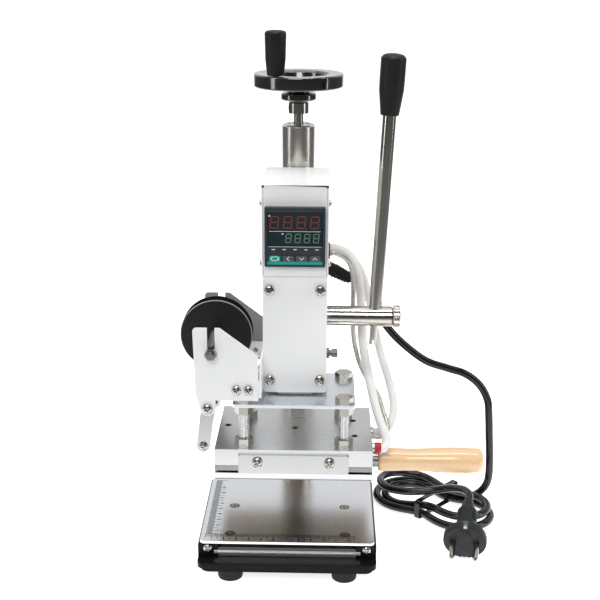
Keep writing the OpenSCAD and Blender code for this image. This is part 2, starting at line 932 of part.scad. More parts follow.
clamp_d = column_d + 16;
channel_w = ram_w + 2 * slide_gap;
channel_back = rack_y + addendum + slide_gap;
channel_top = ram_top + 2;
cover_screw_x = head_w / 2 - 5.5;
cover_screw_rise = [11, head_h - 12];
cover_screw_l = 9;

// Places of the four screws in the front cover, heads to the front
module cover_screw_places() {
  for (x = [-1, 1], r = cover_screw_rise)
    translate([head_x + x * cover_screw_x, cover_y, head_z + r])
      rotate([90, 0, 0])
        children();
}

gib_y = body_y + 14;
gib_z = head_z + 29;
gib_d = 5;

module head_body() {
  notch_d = 16;
  notch_h = 4;
  cavity_r = pitch_r + addendum + pass_gap;
  color("#eef0f1")
    difference() {
      union() {
        translate([head_left, body_y, head_z])
          cube([head_w, hood_back - body_y, head_h]);
        on_column(head_z)
          cylinder(d = clamp_d, h = head_h);
        translate([head_x - clamp_d / 2, hood_back - 1, head_z])
          cube([clamp_d, column_y - hood_back + 1, head_h]);
      }
      // bore for the column
      on_column(head_z - eps)
        cylinder(d = column_d + 2 * run_fit, h = head_h + 2 * eps);
      // channel for the ram
      translate([head_x - channel_w / 2, body_y - eps, head_z - eps])
        cube([channel_w, channel_back - body_y + eps, channel_top - head_z]);
      // room for the pinion, open to the channel
      translate([head_x - pinion_face / 2 - slide_gap, pinion_y, pinion_z])
        rotate([0, 90, 0])
          cylinder(r = cavity_r, h = pinion_face + 2 * slide_gap);
      // bores for the bushes
      translate([head_left - eps, pinion_y, pinion_z])
        rotate([0, 90, 0])
          cylinder(d = bush_d, h = head_w + 2 * eps);
      // notches under the cover at both sides of the ram
      translate([head_left - eps, body_y - eps, head_z - eps])
        cube([head_w + 2 * eps, notch_d, notch_h]);
      // bore for the lift pin
      translate([head_x, column_y - column_d / 2 - clamp_pin_l - seat_gap, lift_z])
        rotate([-90, 0, 0])
          hole(carrier_pin_d, column_d / 2 + clamp_pin_l);
      cover_screw_places()
        translate([0, 0, -cover_t - cover_screw_l])
          hole(m5_d, cover_screw_l);
      mount_screw_places()
        translate([0, 0, -mount_screw_l])
          hole(m5_d, mount_screw_l);
      translate([head_x + channel_w / 2 - eps, gib_y, gib_z])
        rotate([0, 90, 0])
          hole(gib_d, head_w);
      gland_place()
        translate([0, 0, -gland_seat])
          hole(gland_root_d, 2 * gland_seat);
    }
}

spring_d = 9;
spring_wire = 1.2;
spring_turns = 14;
spring_pocket = spring_d + 3;
spring_y = ram_y + spring_pocket / 2;
lug_rise = 18;
lug_z = head_z + lug_rise;
lug_h = 4;
pocket_end = 10;
pocket_low = upper_top + pocket_end;
pocket_high = ram_top - pocket_end;
spring_z = lug_z + lug_h + spring_wire / 2 + slide_gap;
spring_l = pocket_high - slide_gap - spring_wire / 2 - spring_z;
spring_path = coil(spring_turns, (spring_d - spring_wire) / 2, spring_wire, spring_l);

// Front cover with the lug behind it that the return spring stands on
module front_cover() {
  lug_w = spring_pocket - 2 * slide_gap - 1;
  color("#f3f4f5")
    difference() {
      union() {
        translate([head_x, cover_y + cover_t, head_z])
          rotate([90, 0, 0])
            linear_extrude(cover_t)
              translate([0, head_h / 2])
                rounded(head_w, head_h, 3);
        translate([head_x - lug_w / 2, cover_y + cover_t - eps, lug_z])
          cube([lug_w, spring_pocket - 1, lug_h]);
      }
      cover_screw_places()
        translate([0, 0, -cover_t])
          hole(m5_d, cover_t);
    }
}

module return_spring() {
  color("#9a9a98")
    translate([head_x, spring_y, spring_z])
      tube(spring_path, spring_wire / 2, 6, [0, 0, 1]);
}

// Set screw and lock nut for the ram's play, at the head's right
module gib_screw() {
  shank = (head_w - channel_w) / 2 - 1;
  nut_t = 4;
  knob = 5;
  color("#2a2a2c")
    translate([head_right, gib_y, gib_z])
      rotate([0, 90, 0]) {
        translate([0, 0, -shank])
          cylinder(d = gib_d, h = shank + nut_t);
        hexagon(8, 2);
        translate([0, 0, nut_t - eps])
          cylinder(d = 7, h = knob);
      }
}

// Hood: a bent sheet for the top, sides and back, and a front panel with side flanges
panel_flange = 14;
hood_left = head_x - hood_w / 2;
hood_right = head_x + hood_w / 2;

module hood_shell() {
  relief_r = 1;
  color("#f3f4f5")
    difference() {
      translate([hood_left, hood_front, head_top])
        cube([hood_w, hood_d, hood_h]);
      translate([hood_left + hood_t, hood_front - eps, head_top - eps])
        cube([hood_w - 2 * hood_t, hood_d - hood_t + eps, hood_h - hood_t + eps]);
      for (x = [hood_left + hood_t, hood_right - hood_t])
        translate([x, hood_front - eps, hood_top - hood_t])
          rotate([-90, 0, 0])
            cylinder(r = relief_r, h = hood_t + 1);
      hood_screw_places()
        translate([0, 0, -hood_t])
          hole(m3_d, hood_t);
      for (i = [0:2])
        grommet_place(i)
          translate([0, 0, -hood_t - 1])
            hole(grommet_d, hood_t + 2);
    }
}

hood_screw_rise = [9, 58];
hood_screw_setback = 8;

// Two screws in each side of the hood, heads outwards
module hood_screw_places() {
  for (r = hood_screw_rise, side = [-1, 1])
    translate([head_x + side * hood_w / 2, hood_front + hood_screw_setback, head_top + r])
      rotate([0, side * 90, 0])
        children();
}

module hood_panel() {
  inside_w = hood_w - 2 * hood_t - 2 * seat_gap;
  inside_h = hood_h - hood_t - seat_gap;
  inset = 0.4;
  color("#f3f4f5")
    difference() {
      translate([head_x - inside_w / 2, hood_front + inset, head_top])
        difference() {
          cube([inside_w, panel_flange, inside_h]);
          translate([hood_t, hood_t, -eps])
            cube([inside_w - 2 * hood_t, panel_flange, inside_h + 2 * eps]);
        }
      translate([head_x - case_w / 2 - seat_gap, hood_front - eps, bezel_z - case_w / 2 - seat_gap])
        cube([case_w + 2 * seat_gap, hood_t * 3, case_w + 2 * seat_gap]);
      hood_screw_places()
        translate([0, 0, -3 * hood_t])
          hole(m3_d, 3 * hood_t);
    }
}

// The head's pan head screws: cover, hood sides, foil mount, brackets and arm pivots
module head_screws() {
  color("#c8c6c0") {
    cover_screw_places()
      pan_screw(m5_head_d, m5_head_h, m5_d, cover_t + cover_screw_l - 1);
    hood_screw_places()
      pan_screw(m3_head_d, m3_head_h, m3_d, 2 * hood_t);
    mount_screw_places()
      translate([0, 0, sheet_t])
        pan_screw(m5_head_d, m5_head_h, m5_d, sheet_t + mount_screw_l - 1);
    bracket_screw_places()
      pan_screw(m5_head_d - 0.9, m5_head_h, m4_d, 2 * sheet_t);
    pivot_places()
      pan_screw(m5_head_d, m5_head_h, pivot_d, sheet_t + arm_t + 2 * arm_gap);
  }
}

// Temperature controller

case_w = bezel_w - 3;
case_l = 62;
bezel_z = head_top + bezel_rise;
bezel_y = hood_front + 0.4 - bezel_t;
key_w = 9;
key_h = 4.6;
key_pitch = 10.6;
key_rise = -17.2;
key_proud = 0.4;
key_depth = 2.4;
window_h = 28;
window_w = bezel_w - 4;
window_rise = 7.2;

module controller_case() {
  edge = 1;
  color("#23262a")
    difference() {
      union() {
        translate([head_x, bezel_y + bezel_t, bezel_z])
          rotate([90, 0, 0])
            linear_extrude(bezel_t)
              rounded(bezel_w, bezel_w, edge);
        translate([head_x - case_w / 2, bezel_y + bezel_t - eps, bezel_z - case_w / 2])
          cube([case_w, case_l, case_w]);
      }
      translate([head_x - window_w / 2, bezel_y - eps, bezel_z + window_rise - window_h / 2])
        cube([window_w, 0.8, window_h]);
      for (i = [0:3])
        key_place(i)
          translate([-key_w / 2 - slide_gap, -eps, -key_h / 2 - slide_gap])
            cube([key_w + 2 * slide_gap, key_depth + 1, key_h + 2 * slide_gap]);
    }
}

// Place of key i on the front of the bezel
module key_place(i) {
  translate([head_x + (i - 1.5) * key_pitch, bezel_y, bezel_z + key_rise])
    children();
}

module key(i, tint) {
  color(tint)
    key_place(i)
      translate([0, key_depth, 0])
        rotate([90, 0, 0])
          linear_extrude(key_depth + key_proud)
            rounded(key_w, key_h, 0.8);
}

module key_mode() { key(0, "#1d8a7c"); }
module key_shift() { key(1, "#4a4d52"); }
module key_down() { key(2, "#4a4d52"); }
module key_up() { key(3, "#4a4d52"); }

// Ram and heat block

// Rack teeth in the Y-Z plane, rising from the ram's back
module rack_profile() {
  slope = tan(pressure_angle);
  tip = tooth_pitch / 2 - 2 * addendum * slope - backlash / 2;
  root = tooth_pitch / 2 + 2 * dedendum * slope - backlash / 2;
  first = -2;
  last = floor(stroke / tooth_pitch) + 1;
  for (k = [first:last])
    translate([ram_back, pinion_z + (k + 0.5) * tooth_pitch])
      polygon([
        [-0.2, -root / 2], [0, -root / 2], [addendum + dedendum, -tip / 2],
        [addendum + dedendum, tip / 2], [0, root / 2], [-0.2, root / 2]
      ]);
}

ram_screw_d = 6;
ram_screw_x = ram_w / 2 - 7;

module ram_screw_places() {
  for (x = [-1, 1])
    translate([head_x + x * ram_screw_x, (spring_y + spring_pocket / 2 + ram_back) / 2, upper_z])
      children();
}

module ram() {
  color("#b5b8bc")
    difference() {
      translate([head_x - ram_w / 2, 0, 0])
        rotate([90, 0, 90])
          linear_extrude(ram_w) {
            translate([ram_y, upper_top])
              square([ram_back - ram_y, ram_top - upper_top]);
            rack_profile();
          }
      translate([head_x - spring_pocket / 2, ram_y - eps, pocket_low])
        cube([spring_pocket, spring_pocket + eps, pocket_high - pocket_low]);
      ram_screw_places()
        translate([0, 0, upper_t - eps])
          hole(ram_screw_d, 16);
    }
}

bolt_y = upper_y - 2;

// Places of the four spacing bolts, on the upper plate's top
module bolt_places() {
  for (x = [-1, 1], y = [-1, 1])
    translate([head_x + x * bolt_pitch_x / 2, bolt_y + y * bolt_pitch_y / 2, upper_top])
      children();
}

module upper_plate() {
  color("#aeb6c2")
    difference() {
      translate([head_x, upper_y, upper_z])
        linear_extrude(upper_t)
          rounded(upper_w, upper_d, 2);
      bolt_places()
        translate([0, 0, -upper_t])
          hole(bolt_d, upper_t);
      ram_screw_places()
        hole(ram_screw_d, upper_t);
    }
}

bolt_af = 1.625 * bolt_d;
bolt_head_h = 0.66 * bolt_d;
nut_t = 0.8 * bolt_d;
bolt_bite = 9;
guide_t = 2.5;
guide_w = 89.5;
guide_h = 15.8;
guide_low = slideway_z - 1;
guide_screw_x = guide_w / 2 - 15.5;
guide_screw_l = 9;

// Spacing bolts with two nuts each, the ram's screws, and the guide plates' screws
module press_fasteners() {
  color("#c2c6cb") {
    bolt_places() {
      hexagon(bolt_af, bolt_head_h);
      translate([0, 0, -upper_t - bolt_clear - bolt_bite])
        cylinder(d = bolt_d, h = upper_t + bolt_clear + bolt_bite + eps);
      for (z = [nut_t, bolt_clear])
        translate([0, 0, -upper_t - z])
          hexagon(bolt_af, nut_t);
    }
    ram_screw_places()
      rotate([180, 0, 0])
        pan_screw(ram_screw_d * 1.6, ram_screw_d * 0.5, ram_screw_d, upper_t + 14);
    guide_screw_places()
      pan_screw(m5_head_d, m5_head_h, m5_d, guide_t + guide_screw_l - 1);
  }
}

// Two screws in the front guide plate and two in the rear one, heads outwards
module guide_screw_places() {
  for (x = [-1, 1], side = [0, 1])
    translate([head_x + x * guide_screw_x, block_y, block_z + block_t * 0.3])
      rotate([90, 0, 180 * side])
        translate([0, 0, block_d / 2 + guide_t])
          children();
}

heater_d = 8;
heater_pitch = bolt_pitch_y * 0.58;
heater_stub = 2;

module heater_places() {
  for (y = [-1, 1])
    translate([die_right, bolt_y + y * heater_pitch / 2, block_z + block_t / 2])
      rotate([0, 90, 0])
        children();
}

module heat_block() {
  vent_d = 5.5;
  vent_h = 2.5;
  color("#c3c6c9")
    difference() {
      translate([block_left, block_y - block_d / 2, block_z])
        cube([block_w, block_d, block_t]);
      bolt_places()
        translate([0, 0, block_top - upper_top - bolt_bite - 1])
          hole(bolt_d, bolt_bite + 1);
      heater_places()
        translate([0, 0, -block_w + 8])
          hole(heater_d, block_w);
      guide_screw_places()
        translate([0, 0, -guide_t - guide_screw_l])
          hole(m5_d, guide_screw_l);
      for (p = [[0, 0], [-57, 4], [49, 17], [50, -16]])
        translate([head_x + p[0], block_y + p[1], block_top - vent_h])
          cylinder(d = vent_d, h = vent_h + eps);
    }
}

module cartridge_heaters() {
  color("#d7d5d0")
    heater_places()
      translate([0, 0, -block_w + 10])
        cylinder(d = heater_d, h = block_w - 10 + heater_stub);
}

slot_lip_t = 2;

// Plate under the block with the tee slot that the die plate's rail slides in
module slideway_plate() {
  neck_w = die_rail_w - 10 + 2 * slide_gap;
  slot_w = die_rail_w + 2 * slide_gap;
  color("#b9bcc0")
    difference() {
      translate([block_left, block_y - block_d / 2, slideway_z])
        cube([block_w, block_d, slideway_t]);
      translate([block_left - eps, block_y - handle_offset - neck_w / 2, slideway_z - eps])
        cube([block_w + 2 * eps, neck_w, slideway_t + 2 * eps]);
      translate([block_left - eps, block_y - handle_offset - slot_w / 2, slideway_z + slot_lip_t])
        cube([block_w + 2 * eps, slot_w, slideway_t]);
    }
}

module guide_plates() {
  color("#c9cbce")
    difference() {
      for (side = [-1, 1])
        translate([head_x, block_y + side * (block_d + guide_t) / 2, guide_low + guide_h / 2])
          rotate([90, 0, 0])
            translate([0, 0, -guide_t / 2])
              linear_extrude(guide_t)
                rounded(guide_w, guide_h, 1.5);
      guide_screw_places()
        translate([0, 0, -guide_t])
          hole(m5_d, guide_t);
    }
}

tang_d = die_t - 1.4;
tang_l = 18;
ferrule_d = 13.2;
ferrule_l = 6;
handle_y = block_y - handle_offset;
handle_z = die_z + die_t / 2;

// Die plate with its tee rail on top, and a tang for the handle
module die_plate() {
  neck_w = die_rail_w - 10;
  neck_h = slideway_z + slot_lip_t + slide_gap - die_top;
  lip_h = slideway_t - slot_lip_t - 2 * slide_gap;
  color("#cfd2d5") {
    translate([block_left, block_y - block_d / 2, die_z])
      cube([block_w, block_d, die_t]);
    translate([block_left, handle_y - neck_w / 2, die_top - eps])
      cube([block_w, neck_w, neck_h + 2 * eps]);
    translate([block_left, handle_y - die_rail_w / 2, die_top + neck_h])
      cube([block_w, die_rail_w, lip_h]);
    translate([die_right - eps, handle_y, handle_z])
      rotate([0, 90, 0])
        cylinder(d = tang_d, h = ferrule_l + tang_l);
  }
}

module handle_ferrule() {
  color("#9b9da0")
    translate([die_right, handle_y, handle_z])
      rotate([0, 90, 0])
        rotate_extrude()
          polygon([
            [tang_d / 2 + seat_gap, 0], [ferrule_d / 2 - 1, 0], [ferrule_d / 2, 1],
            [ferrule_d / 2, ferrule_l], [tang_d / 2 + seat_gap, ferrule_l]
          ]);
}

// Turned handle: a full collar at the ferrule, a waist, a long swell and a rounded end
function handle_r(f) =
  let (
    collar_r = handle_d * 0.468,
    waist_r = handle_d * 0.43,
    swell_r = handle_d / 2,
    tail_r = handle_d * 0.47
  )
  f < 0.3 ? waist_r + (collar_r - waist_r) * (1 + cos(f / 0.3 * 180)) / 2
  : f < 0.75 ? waist_r + (swell_r - waist_r) * (1 - cos((f - 0.3) / 0.45 * 180)) / 2
  : tail_r + (swell_r - tail_r) * (1 + cos((f - 0.75) / 0.25 * 180)) / 2;

module wood_handle() {
  start_r = 2.5;
  end_r = 5;
  steps = 16;
  first = start_r / handle_l;
  last = 1 - end_r / handle_l;
  color("#dfb27c")
    translate([die_right + ferrule_l, handle_y, handle_z])
      rotate([0, 90, 0])
        difference() {
          rotate_extrude()
            polygon(concat(
              [[0, 0]],
              arc([handle_r(first) - start_r, start_r], start_r, -90, 0, 5),
              [for (i = [1:steps - 1]) let (f = first + (last - first) * i / steps)
                [handle_r(f), f * handle_l]],
              arc([handle_r(last) - end_r, handle_l - end_r], end_r, 0, 90, 6),
              [[0, handle_l]]
            ));
          translate([0, 0, -eps])
            hole(tang_d, tang_l + slide_gap);
        }
}

// Foil unit

bracket_y = body_y - foil_lead;
bracket_z = upper_top + bracket_rise;
bracket_right = head_left - 2.4;
bracket_left = block_left - bracket_reach;
bracket_top = bracket_z + bracket_h;
rear_bracket_y = bracket_y + foil_span;
reel_x = bracket_left + 14.6;
slot_depth = 24;
reel_slot_w = reel_shaft_d + 2 * run_fit;
reel_z = bracket_top - slot_depth + reel_slot_w / 2;
mount_h = 30;
tab_w = 27;
mount_low = bracket_z + 2;
mount_screw_l = 9;
pivot_x = bracket_left + 11;
pivot_z = bracket_z - 7;
pivot_d = 4;
arm_t = 2;
arm_gap = 0.3;
arm_lean = 7;
bracket_screw_z = bracket_z + 9.4;
bracket_screw_x = [bracket_right - 8, bracket_right - 17.6];

// Two screws that hold the foil mount to the head's left side
module mount_screw_places() {
  for (y = [0.36, 0.62])
    translate([head_left, bracket_y + foil_span * y, mount_low + mount_h * 0.42])
      rotate([0, -90, 0])
        children();
}

module front_to_rear(offset_y) {
  translate([0, bracket_y - offset_y, 0])
    rotate([90, 0, 0])
      children();
  translate([0, rear_bracket_y + sheet_t + offset_y, 0])
    mirror([0, 1, 0])
      rotate([90, 0, 0])
        children();
}

module bracket_screw_places() {
  front_to_rear(0)
    for (x = bracket_screw_x)
      translate([x, bracket_screw_z, 0])
        children();
}

module pivot_places() {
  front_to_rear(0)
    translate([pivot_x, pivot_z, 0])
      children();
}

// Channel of bent sheet: a web on the head's side and a tab at each end
module foil_mount() {
  web_y = bracket_y + sheet_t;
  web_l = foil_span - sheet_t;
  color("#e9ebec")
    difference() {
      union() {
        translate([head_left - sheet_t, web_y, mount_low])
          cube([sheet_t, web_l, mount_h]);
        for (y = [web_y, web_y + web_l - sheet_t])
          translate([head_left - tab_w, y, mount_low])
            cube([tab_w - eps, sheet_t, 15]);
      }
      mount_screw_places()
        hole(m5_d, 2 * sheet_t);
      bracket_screw_places()
        translate([0, 0, -3 * sheet_t])
          hole(m4_d, 3 * sheet_t);
    }
}

// Bracket outline: slotted top, slope to the right, and an ear for the guide arm
module bracket_outline() {
  corner = 3;
  ear_r = 6.5;
  slope_x = reel_x + 9;
  slope_z = bracket_top - 23;
  low_left = bracket_z + 6;
  difference() {
    polygon(concat(
      arc([bracket_left + corner, bracket_top - corner], corner, 180, 90, 4),
      arc([slope_x - corner, bracket_top - corner], corner, 90, 53, 3),
      [[bracket_right, slope_z], [bracket_right, bracket_z], [pivot_x + ear_r, bracket_z]],
      arc([pivot_x, pivot_z], ear_r, 0, -180, 8),
      [[bracket_left + 1.5, low_left]]
    ));
    translate([reel_x - reel_slot_w / 2, reel_z])
      square([reel_slot_w, slot_depth]);
    translate([reel_x, reel_z])
      circle(reel_slot_w / 2);
    translate([pivot_x, pivot_z])
      circle(pivot_d / 2 + seat_gap);
    for (x = bracket_screw_x)
      translate([x, bracket_screw_z])
        circle(m4_d / 2 + seat_gap);
  }
}

module foil_brackets() {
  color("#f1f2f3")
    for (y = [bracket_y, rear_bracket_y])
      translate([0, y + sheet_t, 0])
        rotate([90, 0, 0])
          linear_extrude(sheet_t)
            bracket_outline();
}

reel_front = bracket_y + sheet_t + foil_span * 0.45;
flange_plate_t = 2;
core_d = 24;
reel_nut_t = 5;
reel_nut_af = 9;

// Shaft that drops into the bracket slots, with a nut at each end outside
module reel_shaft() {
  over = 4;
  start = bracket_y - over - reel_nut_t - slide_gap;
  stop = rear_bracket_y + sheet_t + over + reel_nut_t + slide_gap;
  color("#b8b09a")
    translate([reel_x, start, reel_z])
      rotate([-90, 0, 0]) {
        cylinder(d = reel_shaft_d, h = stop - start);
        for (z = [over, stop - start - over - reel_nut_t])
          translate([0, 0, z])
            hexagon(reel_nut_af, reel_nut_t);
      }
}

module reel_flanges() {
  bore = reel_shaft_d + 2 * seat_gap;
  color("#17171a")
    for (part = [[0, flange_plate_t, reel_d], [flange_plate_t, reel_w - 2 * flange_plate_t, core_d],
          [reel_w - flange_plate_t, flange_plate_t, reel_d]])
      translate([reel_x, reel_front + part[0], reel_z])
        rotate([-90, 0, 0])
          difference() {
            cylinder(d = part[2], h = part[1]);
            translate([0, 0, -eps])
              cylinder(d = bore, h = part[1] + 2 * eps);
          }
}

brake_d = 10;
brake_wire = 1;
brake_turns = 16;
brake_y = bracket_y + sheet_t + brake_wire / 2 + slide_gap + 0.5;
brake_l = reel_front - slide_gap - brake_wire / 2 - brake_y;
brake_path = coil(brake_turns, (brake_d - brake_wire) / 2, brake_wire, brake_l);

// Brake spring on the shaft between the front bracket and the front flange
module reel_spring() {
  color("#8d8a82")
    translate([reel_x, brake_y, reel_z])
      rotate([-90, 0, 0])
        tube(brake_path, brake_wire / 2, 6, [0, 0, 1]);
}

// Frame of the guide arms at their pivot, X to the arm's end
module arm_frame() {
  translate([pivot_x, 0, pivot_z])
    rotate([0, 90 + arm_lean, 0])
      children();
}

// A round-ended bar behind each bracket
module guide_arms() {
  hole = pivot_d + 2 * run_fit;
  color("#dfe2e5")
    for (y = [bracket_y + sheet_t + arm_gap, rear_bracket_y - arm_gap - arm_t])
      arm_frame()
        translate([0, y + arm_t, 0])
          rotate([90, 0, 0])
            linear_extrude(arm_t)
              difference() {
                union() {
                  translate([0, -arm_w / 2])
                    square([arm_l, arm_w]);
                  circle(arm_w / 2);
                  translate([arm_l, 0])
                    circle(arm_w / 2);
                }
                circle(hole / 2);
                translate([arm_l, 0])
                  circle(pivot_d / 2 + seat_gap);
              }
}

// Rod between the arms, with a screw in each end
module guide_rod() {
  rod_d = 6;
  front = bracket_y + sheet_t + arm_gap + arm_t;
  back = rear_bracket_y - arm_gap - arm_t;
  color("#cdd0d3")
    arm_frame()
      translate([arm_l, 0, 0]) {
        translate([0, front, 0])
          rotate([-90, 0, 0])
            cylinder(d = rod_d, h = back - front);
        for (end = [[front - arm_t, 90], [back + arm_t, -90]])
          translate([0, end[0], 0])
            rotate([end[1], 0, 0])
              pan_screw(m5_head_d - 1.5, m3_head_h, pivot_d, arm_t + eps);
      }
}

// Mains cord and heater leads

cord_d = 7;
gland_l = 24;
gland_root_d = 11;
gland_end_d = 8.8;
gland_seat = 7;
gland_drop = 30;
gland_yaw = 22;
gland_depth = 66.5;
gland_below = 11;
gland_at = [head_right, body_y + gland_depth, head_top - gland_below];
gland_axis = [cos(gland_yaw) * cos(gland_drop), sin(gland_yaw) * cos(gland_drop), -sin(gland_drop)];
cord_start = 9;

module gland_place() {
  translate(gland_at)
    rotate([0, 90 + gland_drop, gland_yaw])
      children();
}

// Tapered strain relief where the mains cord leaves the head
module cord_gland() {
  collar_l = 5;
  bore_r = cord_d / 2 + seat_gap;
  color("#19191b")
    gland_place()
      rotate_extrude()
        polygon([
          [0, -gland_seat], [gland_root_d / 2, -gland_seat], [gland_root_d / 2, collar_l],
          [gland_end_d / 2, gland_l], [bore_r, gland_l], [bore_r, cord_start - slide_gap],
          [0, cord_start - slide_gap]
        ]);
}

// Diameters of the thermocouple lead and the two heater leads
lead_d = [4, 7.5, 6.6];
grommet_d = 8.6;
grommet_pitch = 9.5;
grommet_lip = 1.2;
grommet_depth = 54.3;
grommet_rise = 7.7;
grommet_at = [hood_right, hood_front + grommet_depth, head_top + grommet_rise];

module grommet_place(i) {
  translate(grommet_at + [0, (i - 1) * grommet_pitch, 0])
    rotate([0, 90, 0])
      children();
}

module lead_grommet() {
  lip_d = grommet_d + 0.6;
  color("#19191b")
    for (i = [0:2])
      grommet_place(i)
        difference() {
          union() {
            translate([0, 0, -hood_t])
              cylinder(d = grommet_d, h = hood_t + eps);
            cylinder(d = lip_d, h = grommet_lip);
          }
          translate([0, 0, -hood_t])
            hole(lead_d[i], hood_t + grommet_lip);
        }
}

// A lead leaves its grommet square and ends square to the block. The points between are measured
// from the lever shaft's outlet in the head.
shaft_at = [head_right, pinion_y, pinion_z];
function lead_route(i, mid, end) = concat(
  [for (x = [-2, 2, 6]) grommet_at + [x, (i - 1) * grommet_pitch, 0]],
  [for (p = mid) shaft_at + p],
  [for (x = [8, 3, 0]) end + [x, 0, 0]]
);
block_mid_z = block_z + block_t / 2;
heater_end_x = die_right + heater_stub + slide_gap;
thermocouple_route = lead_route(0,
  [[16, 6.5, 47], [21, 12.5, 34], [22, 15.5, 17], [22, 15.5, -4], [23, 15.5, -24], [26, 17.5, -40],
   [30, 17.5, -52], [37, 13.5, -64], [45, 5.5, -74], [49, -4.5, -84], [52, -12.5, -91], [52, -19.5, -96]],
  [die_right + slide_gap, block_y, block_mid_z]);
front_route = lead_route(1,
  [[15, 14.5, 49], [24, 18.5, 36], [28, 22.5, 16], [29.5, 24.5, -6], [31, 21.5, -30], [36, 3.5, -54],
   [43, -20.5, -78], [50, -37.5, -94]],
  [heater_end_x, bolt_y - heater_pitch / 2, block_mid_z]);
rear_route = lead_route(2,
  [[17, 24.5, 48], [29, 29.5, 30], [36, 32.5, 6], [41, 31.5, -18], [47, 23.5, -42], [54, 9.5, -62],
   [58, -0.5, -80], [55, -8.5, -94]],
  [heater_end_x, bolt_y + heater_pitch / 2, block_mid_z]);

module thermocouple_lead() {
  color("#d9d8d2")
    tube(curve(thermocouple_route, 2), lead_d[0] / 2, 8, [0, 1, 0]);
}

module heater_leads() {
  color("#f0eee8") {
    tube(curve(front_route, 2), lead_d[1] / 2, 8, [0, 1, 0]);
    tube(curve(rear_route, 2), lead_d[2] / 2, 8, [0, 1, 0]);
  }
}

// Hank: loops with two folds and two runs that draw in at the waist, in two layers
hank_mid = [129.5, 42];
hank_heading = -40;
hank_run = 28;
hank_fold_r = 21;
hank_waist = 15;
hank_step = 8;
hank_layer = 7.6;
hank_turn_in = 1.5;
hank_climb = 0.12;
hank_rings = 24;
hank_count = 57;
tie_t = 0.9;
tie_gap = 0.5;
hank_z = cord_d / 2 + tie_t + tie_gap + 0.1;

function ease(f) = let (q = min(max(f, 0), 1)) q * q * (3 - 2 * q);
function run_y(s) = hank_waist + (hank_fold_r - hank_waist) * (1 - cos(180 * s / hank_run)) / 2;
function run_slope(s) = (hank_fold_r - hank_waist) / 2 * PI / hank_run * sin(180 * s / hank_run);

// Place on the loop and its outward side, u turns after the waist of the rear run
function loop_at(u) =
  let (
    run = 2 * hank_run,
    fold = PI * hank_fold_r,
    d = (u * 2 * (run + fold) + hank_run) % (2 * (run + fold)),
    s = d < run ? hank_run - d : d - run - fold - hank_run,
    a = d < run + fold ? 90 + (d - run) / fold * 180 : -90 + (d - 2 * run - fold) / fold * 180,
    round_side = [cos(a), sin(a)]
  )
  d < run ? [[s, run_y(s)], unit([-run_slope(s), 1])]
  : d < run + fold ? [[-hank_run, 0] + hank_fold_r * round_side, round_side]
  : d < 2 * run + fold ? [[s, -run_y(s)], unit([-run_slope(s), -1])]
  : [[hank_run, 0] + hank_fold_r * round_side, round_side];
function hank_point(t) =
  let (
    at = loop_at(t),
    q = at[0] + hank_step * abs(t - hank_turn_in) * at[1],
    climb = ease((t - hank_turn_in) / hank_climb / 2 + 0.5),
    last = hank_count / hank_rings,
    lift = ease((t - last + 0.3) / 0.3)
  )
  [
    hank_mid[0] + q[0] * cos(hank_heading) - q[1] * sin(hank_heading),
    hank_mid[1] + q[0] * sin(hank_heading) + q[1] * cos(hank_heading),
    hank_z + hank_layer * (climb + lift)
  ];

// From the hank over its right fold to the plug
plug_at = [146, -55.5, 17.4];
plug_tilt = 17.5;
plug_yaw = 9;
plug_l = 50;
plug_axis = [-sin(plug_yaw) * cos(plug_tilt), -cos(plug_yaw) * cos(plug_tilt), -sin(plug_tilt)];
plug_end = plug_at - (plug_l + 0.1) * plug_axis;
tail_route = [
  hank_point((hank_count - 1) / hank_rings), hank_point(hank_count / hank_rings),
  [101, 33, 21.2], [115, 30.5, 22.6], [129, 29.5, 24.6], [142, 23, 29.5], [151, 10, 34.5],
  plug_end - 8 * plug_axis, plug_end
];
tail = curve(tail_route, 2);
hank_path = concat(
  [for (i = [0:hank_count]) hank_point(i / hank_rings)],
  [for (i = [3:len(tail) - 1]) tail[i]]
);
echo(hank_gap = least_gap([for (t = [0:1 / 120:hank_count / hank_rings]) hank_point(t)], cord_d, 30));
echo(return_spring_gap = least_gap(spring_path, spring_wire, 5));
echo(reel_spring_gap = least_gap(brake_path, brake_wire, 5));

module mains_cord_hank() {
  color("#131314")
    tube(hank_path, cord_d / 2, 6, [0, 0, 1]);
}

// From the head down to the table, ending against the start of the hank
function gland_point(d) = gland_at + d * gland_axis;
hank_start = hank_point(0);
hank_way = unit(hank_point(0) - hank_point(1 / hank_rings / 8));
mains_route = [
  gland_point(cord_start), gland_point(cord_start + 8), gland_point(gland_l), gland_point(gland_l + 8),
  [69, 55, 190], [81, 57, 171], [95, 57, 155], [117, 56, 138], [137, 55.5, 131], [153, 55, 126],
  [166, 55, 116], [174, 54, 102], [176, 53, 86], [177, 51.5, 68], [178, 49.5, 48], [178, 48.5, 31],
  [176, 49.5, 21], [170.5, 51.5, 12.5], [163, 54.5, 7], hank_start + 8 * hank_way, hank_start + 0.1 * hank_way
];
mains_path = curve(mains_route, 2);
echo(cord_length = path_length(mains_path) + path_length(hank_path));

module mains_cord() {
  color("#131314")
    tube(mains_path, cord_d / 2, 10, [0, 1, 0]);
}

module cord_tie() {
  tie_w = 5;
  out_y = hank_waist + hank_step * hank_turn_in;
  in_y = hank_waist + hank_step * (hank_turn_in - 0.5);
  wide = out_y + in_y + cord_d + 2 * tie_gap + 1;
  high = hank_layer + cord_d + 2 * tie_gap;
  color("#101011")
    translate([hank_mid[0], hank_mid[1], 0])
      rotate(hank_heading)
        rotate([90, 0, 90])
          translate([(out_y - in_y + 1) / 2, hank_z + hank_layer / 2, -tie_w / 2])
            linear_extrude(tie_w)
              difference() {
                rounded(wide + 2 * tie_t, high + 2 * tie_t, 2 + tie_t);
                rounded(wide, high, 2);
              }
}

